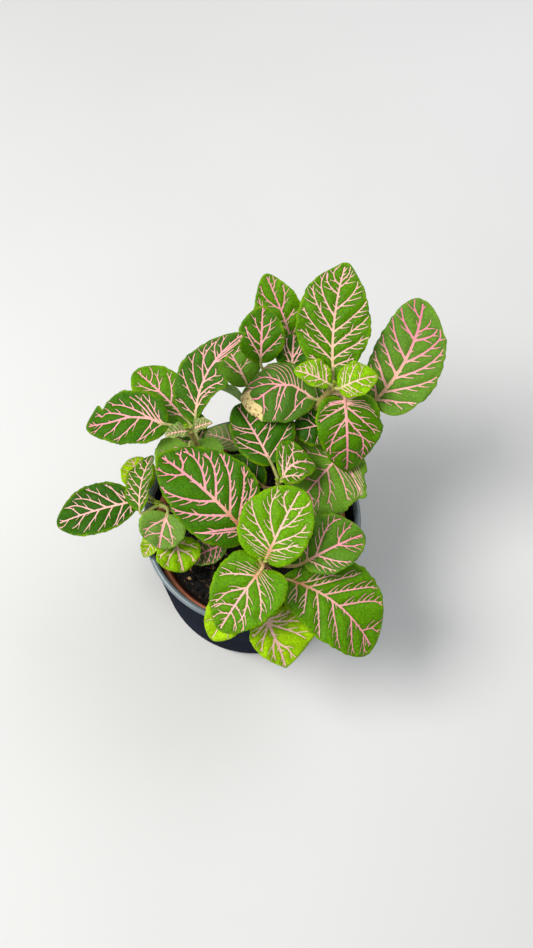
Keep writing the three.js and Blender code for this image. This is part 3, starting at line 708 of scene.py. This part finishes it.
class Piece:
    def __init__(self):
        self.points, self.faces, self.looks = [], [], []
        self.values = {name: [] for name in VALUES}
        self.count = 0

    def add(self, points, faces, look=0, **values):
        self.points.append(np.asarray(points, float))
        self.faces.append(np.asarray(faces, int) + self.count)
        self.looks.append(np.broadcast_to(look, len(faces)))
        for name in VALUES:
            self.values[name].append(np.broadcast_to(values.get(name, 0), len(points)))
        self.count += len(points)

    def make(self, name, materials):
        mesh = bpy.data.meshes.new(name)
        faces = np.concatenate(self.faces)
        mesh.from_pydata((np.concatenate(self.points) * MM).tolist(), [], faces.tolist())
        mesh.polygons.foreach_set("material_index", np.concatenate(self.looks).astype(np.int32))
        mesh.polygons.foreach_set("use_smooth", np.full(len(faces), True))
        for value, parts in self.values.items():
            whole = np.concatenate(parts)
            if whole.any():
                layer = mesh.attributes.new(value, "FLOAT", "POINT")
                layer.data.foreach_set("value", whole.astype(np.float32))
        for material in materials:
            mesh.materials.append(material)
        mesh.update()
        piece = bpy.data.objects.new(name, mesh)
        bpy.context.scene.collection.objects.link(piece)
        return piece


# The triangles of rings of points in a row, closed by one point at each end
def ring_faces(rings, sides):
    k = np.arange((rings - 1) * sides)
    ahead = k // sides * sides + (k + 1) % sides
    spot = np.arange(sides)
    beyond = (spot + 1) % sides
    end = (rings - 1) * sides
    first, last = np.full(sides, end + sides), np.full(sides, end + sides + 1)
    corners = ((k, ahead, ahead + sides), (k, ahead + sides, k + sides),
               (beyond, spot, first), (end + spot, end + beyond, last))
    return np.concatenate([np.stack(three, -1) for three in corners])


LEAF, UNDERSIDE, STALK, HAIR = range(4)


def add_leaf(piece, blade, look, dice):
    veins = leaf_veins(blade, look, dice)
    flat, u, v, faces, rim = leaf_net(blade, veins)
    vein, _ = vein_distance(flat, veins)
    _, rib = vein_distance(flat, veins[:1])
    main, centre = vein_distance(flat, [one for one in veins if one.rank <= 1])
    edge, _ = vein_distance(flat, [Vein(np.concatenate([flat[:rim], flat[:1]]), (0, 0), 0)])
    size = min(1, blade.width / RELIEF_WIDTH)
    lift = QUILT * size * (smooth(0, 2.6, main) - 0.5) + VEIN_RELIEF * size * smooth(0, 0.7, vein)
    lift *= smooth(-0.3, 1.6, edge)
    half = RIM_HALF_THICKNESS + (HALF_THICKNESS - RIM_HALF_THICKNESS) * smooth(0, 0.7, edge)
    under_rib = RIB_RIDGE * np.exp(-(rib / 0.7) ** 2) * (1 - 0.8 * u)
    ridge = (under_rib + VEIN_RIDGE * np.exp(-(centre / 0.5) ** 2)) * size
    ridge *= smooth(0, 1.2, edge)
    middle = blade.point(u, v)
    top = middle + blade.up * (lift + half)[:, None]
    bottom = middle + blade.up * (lift - half - ridge)[:, None]
    near_base = np.exp(-(u / look["tan"]) ** 2) * np.exp(-np.maximum(rib - 0.9, 0) / 1.2)
    values = dict(
        vein=vein, edge=np.maximum(edge, 0),
        tone=look["tone"], grey=look["grey"], pale=look["pale"],
        cream=look["cream"] * near_base, brown=look["brown"] * near_base * smooth(0.5, 0.1, u),
        dry=look["dry"] * smooth(0.6, 0.68, u) * smooth(0.35, 0.15, v) * smooth(5.6, 4.6, edge),
        deep=look["deep"] + look["flush"] * smooth(0.2, 0.9, u))
    start = piece.count
    piece.add(top, faces, LEAF, **values)
    piece.add(bottom, faces[:, ::-1], UNDERSIDE, **values)
    ring = np.arange(rim)
    following = (ring + 1) % rim
    below = ring + len(top)
    strip = ((ring, below, below[following]), (ring, below[following], following))
    piece.faces.append(np.concatenate([np.stack(three, -1) for three in strip]) + start)
    piece.looks.append(np.full(2 * rim, LEAF))


# A closed tube through points, and the hairs that stand on it
def add_tube(piece, points, radii, sides, look, **values):
    along = np.gradient(points, axis=0)
    along /= np.linalg.norm(along, axis=1)[:, None]
    right = unit(np.cross([1, 0.3, 0], along[0]))
    angles = 2 * math.pi * np.arange(sides) / sides
    rings = []
    for place, way, radius in zip(points, along, radii):
        right = unit(right - right @ way * way)
        over = np.cross(way, right)
        spokes = np.outer(np.cos(angles), right) + np.outer(np.sin(angles), over)
        rings.append(place + radius * spokes)
    for name, value in values.items():
        if np.ndim(value):
            values[name] = np.concatenate([np.repeat(value, sides), value[:1], value[-1:]])
    points = np.concatenate([*rings, points[:1], points[-1:]])
    piece.add(points, ring_faces(len(rings), sides), look, **values)


def add_hairs(piece, points, radii, density, dice):
    arc = arc_length(points)
    for _ in range(int(arc[-1] * density)):
        where = dice.uniform(0, arc[-1])
        place, along = follow(points, arc, where, HAIR_REACH)
        way = np.array([dice.gauss(0, 1) for _ in range(3)])
        out = unit(way - way @ along * along)
        across = np.cross(along, out)
        length = dice.uniform(*HAIR_LENGTH)
        foot = place + out * np.interp(where, arc, radii) * 0.9
        tip = foot + out * length + along * length * dice.uniform(-0.2, 0.5)
        ring = [foot + HAIR_THICKNESS * (across * math.cos(a) + along * math.sin(a))
                for a in (0, 2.1, 4.2)]
        piece.add([*ring, tip], [(0, 1, 3), (1, 2, 3), (2, 0, 3), (2, 1, 0)], HAIR)


def stem_at(stem, t):
    foot, middle, top = (np.array(point, float) for point in stem)
    return curve(foot, 2 * middle - foot / 2 - top / 2, top, np.asarray(t, float)[..., None])


def petiole_points(stem, blade):
    start = stem_at(stem, blade.at)
    end = blade.base
    reach = np.linalg.norm(end - start)
    up = unit(stem_at(stem, min(1, blade.at + STEM_NUDGE)) - stem_at(stem, blade.at - STEM_NUDGE))
    away = unit(end - start + up * PETIOLE_RISE * reach)
    first = start + away * PETIOLE_HANDLE * reach
    second = end - blade.heading() * PETIOLE_HANDLE * reach
    t = np.linspace(0, 1, max(8, int(reach / PETIOLE_STEP)))[:, None]
    line = ((1 - t) ** 3 * start + 3 * t * (1 - t) ** 2 * first
            + 3 * t * t * (1 - t) * second + t ** 3 * end)
    return np.concatenate([line, blade.midrib(np.array(PETIOLE_TAIL)) - blade.up * PETIOLE_SINK])


def build_shoot(number, stem, leaves):
    piece = Piece()
    dice = random.Random(SHOOT_SEED + number)
    t = np.linspace(0, 1, STEM_STEPS)
    points = stem_at(stem, t)
    radii = STEM_FOOT_RADIUS + (STEM_TOP_RADIUS - STEM_FOOT_RADIUS) * t
    for row in leaves.values():
        radii = radii + NODE_SWELL * np.exp(-((t - row[0]) / NODE_REACH) ** 2)
    add_tube(piece, points, radii, STEM_SIDES, STALK, tone=0.3, brown=0.3)
    add_hairs(piece, points, radii, STEM_HAIRS, dice)
    for k, (letter, row) in enumerate(leaves.items()):
        look = {**PLAIN_LOOK, **LOOKS.get(letter, {})}
        blade = Blade(row, k * WAVE_STEP % 1, dice, look["shape"])
        line = petiole_points(stem, blade)
        share = np.linspace(0, 1, len(line))
        girth = PETIOLE_RADIUS + (PETIOLE_END_RADIUS - PETIOLE_RADIUS) * share
        girth[-3:] *= PETIOLE_TAPER
        if blade.width < SMALL_BLADE:
            girth *= SMALL_GIRTH
        add_tube(piece, line, girth, PETIOLE_SIDES, STALK, tone=look["tone"], brown=look["brown"],
                 cream=look["cream"] * share, deep=look["blush"] * share)
        add_hairs(piece, line[:-3], girth[:-3], PETIOLE_HAIRS, dice)
        add_leaf(piece, blade, look, dice)
    lean = unit(points[-1] - points[-3])
    sideways = unit(np.cross(lean, [0.2, 0.9, 0.1]))
    for turn, length in zip((1, -1), BUD_LENGTHS):
        heading = unit(lean * BUD_LEAN + sideways * turn)
        base = points[-1] + heading * BUD_START
        row = (1, base, base + heading * length, length * BUD_WIDTH, BUD)
        add_leaf(piece, Blade(row, 0, dice), BUD_LOOK, dice)
    return piece


# Materials. The scale of a noise is in waves to the metre, and the height of a bump in metres
def srgb(*channels):
    shares = (channel / 255 for channel in channels)
    return (*(c / 12.92 if c <= 0.04045 else ((c + 0.055) / 1.055) ** 2.4 for c in shares), 1)


class Shader:
    def __init__(self, name):
        self.material = bpy.data.materials.new(name)
        self.material.use_nodes = True
        self.tree = self.material.node_tree
        self.tree.nodes.clear()
        self.surface = self.new("BsdfPrincipled")
        self.new("OutputMaterial", {"Surface": self.surface.outputs[0]})
        self.place = self.new("TexCoord").outputs["Object"]

    def set(self, socket, value):
        if isinstance(value, bpy.types.NodeSocket):
            self.tree.links.new(value, socket)
        else:
            socket.default_value = value

    # A node with its settings, and its inputs: constants, or what another node gives
    def new(self, kind, inputs=None, **settings):
        node = self.tree.nodes.new("ShaderNode" + kind)
        for name, value in settings.items():
            setattr(node, name, value)
        for name, value in (inputs or {}).items():
            self.set(node.inputs[name], value)
        return node

    def value(self, name):
        return self.new("Attribute", attribute_name=name).outputs["Fac"]

    def plus(self, a, b):
        return self.new("Math", {0: a, 1: b}, operation="ADD").outputs[0]

    def times(self, a, b):
        return self.new("Math", {0: a, 1: b}, operation="MULTIPLY").outputs[0]

    # 0 where the value is at low, 1 at high, smooth between; high may be the smaller
    def band(self, value, low, high):
        inputs = {0: value, 1: low, 2: high, 3: 0, 4: 1}
        return self.new("MapRange", inputs, interpolation_type="SMOOTHSTEP").outputs[0]

    def noise(self, scale, detail=3, rough=0.55):
        inputs = {"Vector": self.place, "Scale": scale, "Detail": detail, "Roughness": rough}
        return self.new("TexNoise", inputs).outputs["Fac"]

    # How far each place lies from the border of its cell, in a net of cells bent a little
    def cells(self, scale, bend):
        jitter = self.new("TexNoise", {"Vector": self.place, "Scale": scale * 0.4}).outputs["Color"]
        moved = self.new("Mix", {0: bend, 4: self.place, 5: jitter}, data_type="VECTOR").outputs[1]
        inputs = {"Vector": moved, "Scale": scale}
        return self.new("TexVoronoi", inputs, feature="DISTANCE_TO_EDGE").outputs["Distance"]

    def mix(self, factor, a, b, kind="MIX"):
        inputs = {0: factor, 6: a, 7: b}
        return self.new("Mix", inputs, data_type="RGBA", blend_type=kind).outputs[2]

    # The colours in turn as the value runs from 0 to 1
    def ramp(self, value, colours):
        node = self.new("ValToRGB", {0: value})
        elements = node.color_ramp.elements
        while len(elements) < len(colours):
            elements.new(0.5)
        for k, colour in enumerate(colours):
            elements[k].position = k / (len(colours) - 1)
            elements[k].color = colour
        return node.outputs[0]

    # The colour times a grey that runs from dark to light with the value
    def shade(self, colour, value, dark, light, low=0.3, high=0.7):
        greys = ((tone, tone, tone, 1) for tone in (dark, light))
        return self.mix(1, colour, self.mix(self.band(value, low, high), *greys), "MULTIPLY")

    def bump(self, height, distance, strength):
        node = self.new("Bump", {"Strength": strength, "Distance": distance, "Height": height})
        self.set(self.surface.inputs["Normal"], node.outputs[0])

    def finish(self, colour, roughness, **constants):
        self.set(self.surface.inputs["Base Color"], colour)
        self.set(self.surface.inputs["Roughness"], roughness)
        for name, value in constants.items():
            self.surface.inputs[name.replace("_", " ")].default_value = value
        return self.material


GREENS = (srgb(26, 68, 0), srgb(50, 98, 0), srgb(82, 132, 0), srgb(104, 158, 0), srgb(156, 196, 2))
MARGIN_GREEN = srgb(134, 166, 2)
# A grey-green: the leaves' own dull bloom, and a painted sheen
BLOOM_AND_SHEEN_GREEN = srgb(140, 160, 96)
VEIN_PINK = srgb(250, 156, 168)
VEIN_CREAM = srgb(248, 208, 190)
VEIN_TAN = srgb(236, 204, 160)
VEIN_BROWN = srgb(196, 118, 84)
VEIN_DEEP = srgb(236, 104, 150)
DRY_TAN = srgb(226, 204, 142)
DRY_BROWN = srgb(120, 72, 30)
UNDERSIDE_DARK = srgb(96, 136, 66)
UNDERSIDE_LIGHT = srgb(150, 186, 84)
UNDERSIDE_VEIN = srgb(196, 196, 140)
STALK_DARK = srgb(132, 138, 62)
STALK_LIGHT = srgb(164, 176, 80)
STALK_BROWN = srgb(196, 134, 92)
STALK_CREAM = srgb(232, 204, 152)
STALK_PINK = srgb(240, 164, 164)
HAIR_PALE = srgb(214, 214, 178)
POT_NAVY = srgb(23, 29, 43)
# Painted reflection: the lip's light grey-blue stands for a bright window reflected in the dark
# pot's lip
LIP_PAINTED_REFLECTION = srgb(104, 117, 124)
TERRACOTTA = srgb(255, 150, 112)
DIRT = srgb(92, 56, 40)
SOIL_BLACK = srgb(2, 2, 2)
SOIL_BROWN = srgb(24, 17, 12)
SOIL_FLECK = srgb(150, 108, 66)
BARK_DARK = srgb(122, 82, 46)
BARK_LIGHT = srgb(214, 172, 116)
FLOOR_PALE = srgb(214, 214, 212)


def leaf_material():
    s = Shader("leaf_top")
    ragged = s.times(s.plus(s.noise(1400, 2), -0.5), 0.25)
    vein = s.plus(s.value("vein"), ragged)
    green = s.ramp(s.value("tone"), GREENS)
    rim = s.times(s.band(s.value("edge"), 1.5, 0), s.band(s.noise(140, 2), 0.3, 0.7))
    green = s.mix(s.times(rim, 0.6), green, MARGIN_GREEN)
    green = s.shade(green, s.noise(130, 2), 0.92, 1.08)
    # Painted shade and light: darker in the creases beside the veins and lighter on the puffed
    # blade between them, partly also the leaf's own deeper green by its veins
    green = s.shade(green, s.value("vein"), 0.8, 1.08, 0, 1.1)
    green = s.shade(green, s.noise(900, 3, 0.7), 0.84, 1.12, 0.36, 0.64)
    net = s.cells(760, 0.00075)
    green = s.shade(green, net, 1.22, 0.97, 0.03, 0.12)
    # Painted sheen: an even grey-green stands in for the light the leaf's surface reflects, mixed
    # with its own dull bloom
    green = s.mix(s.value("grey"), green, BLOOM_AND_SHEEN_GREEN)
    core = s.mix(s.value("pale"), VEIN_PINK, VEIN_CREAM)
    core = s.mix(s.times(s.band(vein, -0.12, -0.02), 0.35), core, VEIN_CREAM)
    for name, colour in (("cream", VEIN_TAN), ("brown", VEIN_BROWN), ("deep", VEIN_DEEP)):
        core = s.mix(s.value(name), core, colour)
    core = s.shade(core, s.noise(900, 2), 0.88, 1.05)
    colour = s.mix(s.band(vein, 0.05, -0.05), green, core)
    parched = s.mix(s.band(s.noise(700), 0.52, 0.66), DRY_TAN, DRY_BROWN)
    dry = s.plus(s.value("dry"), s.times(s.plus(s.noise(300), -0.5), 0.6))
    colour = s.mix(s.band(dry, 0.4, 0.6), colour, parched)
    s.bump(s.plus(s.noise(1100, 3, 0.65), s.band(net, 0, 0.3)), 0.0003, 0.38)
    return s.finish(colour, s.plus(0.38, s.times(s.noise(400, 2), 0.16)), Specular_IOR_Level=0.1)


def underside_material():
    s = Shader("leaf_underside")
    base = s.mix(s.value("tone"), UNDERSIDE_DARK, UNDERSIDE_LIGHT)
    base = s.shade(base, s.noise(300), 0.86, 1.1)
    base = s.shade(base, s.noise(2400), 0.86, 1.12)
    mask = s.times(s.band(s.value("vein"), 0.12, -0.12), 0.6)
    s.bump(s.noise(1800), 0.0002, 0.4)
    return s.finish(s.mix(mask, base, UNDERSIDE_VEIN), 0.62)


def stalk_material():
    s = Shader("stalk")
    base = s.mix(s.value("tone"), STALK_DARK, STALK_LIGHT)
    base = s.mix(s.value("brown"), base, STALK_BROWN)
    base = s.mix(s.times(s.value("cream"), 0.6), base, STALK_CREAM)
    base = s.mix(s.value("deep"), base, STALK_PINK)
    s.bump(s.noise(1200), 0.0003, 0.5)
    return s.finish(s.shade(base, s.noise(700), 0.8, 1.12), 0.6)


def hair_material():
    s = Shader("hair")
    return s.finish(s.shade(HAIR_PALE, s.noise(500, 1), 0.85, 1.05), 0.5)


def pot_material(name, colour, gloss, coat):
    s = Shader(name)
    base = s.shade(colour, s.noise(90), 0.85, 1.2)
    base = s.shade(base, s.noise(18, 2), 0.8, 1.2, 0.35, 0.65)
    base = s.shade(base, s.noise(1300, 2), 0.92, 1.1)
    s.bump(s.noise(500, 2), 0.0001, 0.08)
    rough = s.plus(0.24, s.times(s.noise(60), 0.12))
    return s.finish(base, rough, IOR=gloss, Coat_Weight=coat, Coat_Roughness=0.2)


def nursery_material():
    s = Shader("nursery_plastic")
    base = s.shade(TERRACOTTA, s.noise(220, 4), 0.9, 1.06)
    dirt = s.band(s.noise(500, 4, 0.7), 0.6, 0.72)
    s.bump(s.noise(900), 0.0002, 0.2)
    return s.finish(s.mix(s.times(dirt, 0.35), base, DIRT), 0.48)


def soil_material():
    s = Shader("potting_soil")
    base = s.mix(s.band(s.noise(420, 5, 0.7), 0.42, 0.62), SOIL_BLACK, SOIL_BROWN)
    base = s.mix(s.band(s.noise(800, 2), 0.62, 0.68), base, SOIL_FLECK)
    s.bump(s.noise(600, 5, 0.75), 0.002, 1)
    return s.finish(base, 0.95)


def chip_material():
    s = Shader("bark_chips")
    base = s.mix(s.band(s.noise(260, 2), 0.4, 0.6), BARK_DARK, BARK_LIGHT)
    s.bump(s.noise(1600, 4), 0.0004, 0.6)
    return s.finish(s.shade(base, s.noise(1500, 4), 0.7, 1.15), 0.85)


def floor_material():
    s = Shader("floor")
    return s.finish(s.shade(FLOOR_PALE, s.noise(3), 0.97, 1.02), 0.7)


# The pots and the soil
def rounding(centre, radius, start, stop, steps):
    angles = np.radians(np.linspace(start, stop, steps + 1))
    return [(centre[0] + radius * math.cos(a), centre[1] + radius * math.sin(a)) for a in angles]


def lathe(profile, segments):
    angles = 2 * math.pi * np.arange(segments) / segments
    rings = [np.stack([r * np.cos(angles), r * np.sin(angles), np.full(segments, z)], -1)
             for r, z in profile[1:-1]]
    ends = [(0, 0, z) for _, z in (profile[0], profile[-1])]
    return np.concatenate([*rings, ends]), ring_faces(len(rings), segments)


def cover_pot():
    lip = LIP_WIDTH / 2
    under_lip = POT_HEIGHT - LIP_DROP
    inside_foot = BODY_FOOT_RADIUS - POT_WALL
    foot = BODY_FOOT_RADIUS - FOOT_ROUNDING
    profile = [(0, 0), *rounding((foot, FOOT_ROUNDING), FOOT_ROUNDING, -90, 0, FOOT_STEPS)]
    profile += [(BODY_FOOT_RADIUS + (BODY_TOP_RADIUS - BODY_FOOT_RADIUS) * s,
                 FOOT_ROUNDING + (under_lip - FOOT_ROUNDING) * s) for s in (0.25, 0.5, 0.75, 1)]
    profile += rounding((LIP_RADIUS - lip, POT_HEIGHT - lip), lip, -30, 180, LIP_STEPS)
    profile += [(LIP_RADIUS - LIP_WIDTH, under_lip), (inside_foot, POT_FLOOR + FOOT_ROUNDING)]
    profile += [(inside_foot - FOOT_ROUNDING, POT_FLOOR), (0, POT_FLOOR)]
    piece = Piece()
    points, faces = lathe(profile, POT_SEGMENTS)
    # The lip gets its own light grey-blue material: a painted reflection of a bright window on the
    # dark pot
    on_lip = points[faces][:, :, 2].min(1) > under_lip - 0.1
    piece.add(points, faces, on_lip.astype(int))
    glaze = pot_material("pot_glaze", POT_NAVY, 1, 0.04)
    return piece.make("cover_pot_body", [glaze, pot_material("pot_lip_painted_reflection", LIP_PAINTED_REFLECTION, 1.5, 0)])


def nursery_pot():
    bevel = NURSERY_BEVEL
    outer = NURSERY_RIM_RADIUS - bevel
    inner = NURSERY_RIM_RADIUS - NURSERY_RIM_WIDTH + bevel
    floor_top = NURSERY_BOTTOM + NURSERY_FLOOR
    profile = [(0, NURSERY_BOTTOM), (NURSERY_FOOT_RADIUS - bevel, NURSERY_BOTTOM)]
    profile += [(NURSERY_FOOT_RADIUS, NURSERY_BOTTOM + bevel), (NURSERY_BODY_RADIUS, NURSERY_STEP)]
    profile += [(outer, NURSERY_STEP + bevel)]
    profile += rounding((outer, NURSERY_TOP - bevel), bevel, 0, 90, BEVEL_STEPS)
    profile += rounding((inner, NURSERY_TOP - bevel), bevel, 90, 180, BEVEL_STEPS)
    profile += [(NURSERY_BODY_RADIUS - NURSERY_WALL, NURSERY_STEP)]
    profile += [(NURSERY_FOOT_RADIUS - NURSERY_WALL, floor_top), (0, floor_top)]
    piece = Piece()
    points, faces = lathe(profile, NURSERY_SEGMENTS)
    piece.add(points + NURSERY_OFFSET, faces)
    pot = piece.make("nursery_pot_body", [nursery_material()])
    drill = Piece()
    for k in range(DRAIN_COUNT):
        angle = 2 * math.pi * (k + 0.5) / DRAIN_COUNT
        x, y = DRAIN_RING * math.cos(angle), DRAIN_RING * math.sin(angle)
        middle = NURSERY_OFFSET + np.array([x, y, NURSERY_BOTTOM])
        line = np.array([middle - [0, 0, 3], middle + [0, 0, 4]])
        add_tube(drill, line, [DRAIN_RADIUS, DRAIN_RADIUS], DRAIN_SIDES, 0)
    cutter = drill.make("drill", [])
    cut = pot.modifiers.new("drains", "BOOLEAN")
    cut.operation = "DIFFERENCE"
    cut.object = cutter
    cut.solver = "EXACT"
    bpy.context.view_layer.update()
    drained = pot.evaluated_get(bpy.context.evaluated_depsgraph_get())
    shape = bpy.data.meshes.new_from_object(drained)
    pot.modifiers.clear()
    pot.data = shape
    bpy.data.objects.remove(cutter)
    return pot


def sine(x, length, shift=0):
    return np.sin(2 * math.pi * x / length + shift)


def lumps(x, y):
    height = 1.1 * (0.7 * sine(x, 30, 0.8) * sine(y, 37, 1.2)
                    + 0.3 * sine(x, 11) * sine(y, 13, 1.3))
    for length, tall, turn in SOIL_WAVES:
        a = x * math.cos(turn) + y * math.sin(turn)
        b = y * math.cos(turn) - x * math.sin(turn)
        across = sine(b, length * 1.2, a / 7)
        height = height + tall * sine(a, length, 2 * np.sin(b / length)) * across
    return height


# The points and triangles of an icosahedron of radius 1
def icosahedron():
    golden = (1 + 5 ** 0.5) / 2
    points = []
    for a in (-1, 1):
        for b in (-golden, golden):
            points += [(0, a, b), (a, b, 0), (b, 0, a)]
    points = np.array(points) / (1 + golden ** 2) ** 0.5
    near = np.linalg.norm(points[:, None] - points, axis=-1) < 1.1
    faces = []
    for i, j, k in combinations(range(len(points)), 3):
        if near[i, j] and near[j, k] and near[i, k]:
            a, b, c = points[[i, j, k]]
            faces.append((i, j, k) if np.cross(b - a, c - a) @ a > 0 else (i, k, j))
    return points, faces


# An uneven lump made from a ball of points
def crumb(dice, ball, size, flatness):
    jitter = np.array([[dice.uniform(0.75, 1.25)] for _ in ball])
    stretch = np.array([dice.uniform(0.8, 1.5), dice.uniform(0.7, 1.1), dice.uniform(*flatness)])
    turn = dice.uniform(0, 2 * math.pi)
    tilt = dice.uniform(-0.5, 0.5)
    c, s = math.cos(tilt), math.sin(tilt)
    shape = ball * jitter * stretch * size @ np.array([[1, 0, 0], [0, c, -s], [0, s, c]])
    c, s = math.cos(turn), math.sin(turn)
    return shape @ np.array([[c, -s, 0], [s, c, 0], [0, 0, 1]])


def soil():
    piece = Piece()
    floor = NURSERY_BOTTOM + NURSERY_FLOOR + FIT
    foot = NURSERY_FOOT_RADIUS - NURSERY_WALL - FIT
    profile = [(0, floor), (foot, floor), (SOIL_RADIUS, NURSERY_STEP - FIT)]
    profile += [(SOIL_RADIUS * (1 - k / SOIL_RINGS), SOIL_TOP) for k in range(SOIL_RINGS + 1)]
    points, faces = lathe(profile, SOIL_SECTORS)
    high = points[:, 2] > NURSERY_STEP
    points[high, 2] += lumps(points[high, 0], points[high, 1])
    piece.add(points + NURSERY_OFFSET, faces)
    dice = random.Random(SOIL_SEED)
    ball, sides = icosahedron()
    for k in range(CRUMB_COUNT):
        radius = (SOIL_RADIUS - SOIL_MARGIN) * math.sqrt(dice.random())
        angle = dice.uniform(0, 2 * math.pi)
        x, y = radius * math.cos(angle), radius * math.sin(angle)
        z = SOIL_TOP + float(lumps(np.array(x), np.array(y)))
        chip = k % CHIP_EVERY == 0
        sizes, flatness = CHIP if chip else CRUMB
        shape = crumb(dice, ball, dice.uniform(*sizes), flatness)
        piece.add(shape + (NURSERY_OFFSET + np.array([x, y, z + CRUMB_LIFT])), sides, int(chip))
    return piece.make("soil_bed", [soil_material(), chip_material()])


for piece, node in ((cover_pot(), "cover_pot"), (nursery_pot(), "nursery_pot"), (soil(), "soil")):
    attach(piece, "root")
    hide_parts(node)

leaf_looks = [leaf_material(), underside_material(), stalk_material(), hair_material()]
for number, (name, (stem, leaves)) in enumerate(SHOOTS.items()):
    shoot = build_shoot(number, stem, leaves).make(name.replace("shoot", "leafy_shoot"), leaf_looks)
    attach(shoot, "root")
    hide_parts(name)

# Floor, in millimetres
FLOOR_REACH = 2000
FLOOR_DROP = 0.3

floor = Piece()
corners = ((-1, -1), (1, -1), (1, 1), (-1, 1))
floor.add([(x * FLOOR_REACH, y * FLOOR_REACH, -FLOOR_DROP) for x, y in corners],
          [(0, 1, 2), (0, 2, 3)])
floor.make("floor", [floor_material()])

# Lights: the place, what each points at and its size, in metres, its power in watts and its colour
LIGHTS = {
    "key": ((-0.5, -0.05, 0.95), (0, 0, 0.1), 0.5, 9.8, (1, 0.98, 0.95)),
    "fill": ((0.5, 0.5, 0.7), (0, 0, 0.1), 0.8, 3.6, (0.95, 0.98, 1)),
    "window": ((-0.9, -0.6, 0.35), (0, 0, 0.08), 0.5, 2.5, (0.95, 0.98, 1)),
}
WORLD_COLOUR = (0.93, 0.95, 1, 1)
WORLD_STRENGTH = 0.34

for name, (place, target, size, power, colour) in LIGHTS.items():
    data = bpy.data.lights.new(name, "AREA")
    data.shape = "DISK"
    data.size = size
    data.energy = power
    data.color = colour
    light = bpy.data.objects.new(name, data)
    light.location = place
    direction = Vector(np.array(target) - np.array(place))
    light.rotation_euler = direction.to_track_quat("-Z", "Y").to_euler()
    bpy.context.scene.collection.objects.link(light)
world = bpy.data.worlds.new("studio")
world.use_nodes = True
backdrop = world.node_tree.nodes["Background"].inputs
backdrop["Color"].default_value = WORLD_COLOUR
backdrop["Strength"].default_value = WORLD_STRENGTH
bpy.context.scene.world = world
bpy.context.scene.view_settings.view_transform = "Standard"
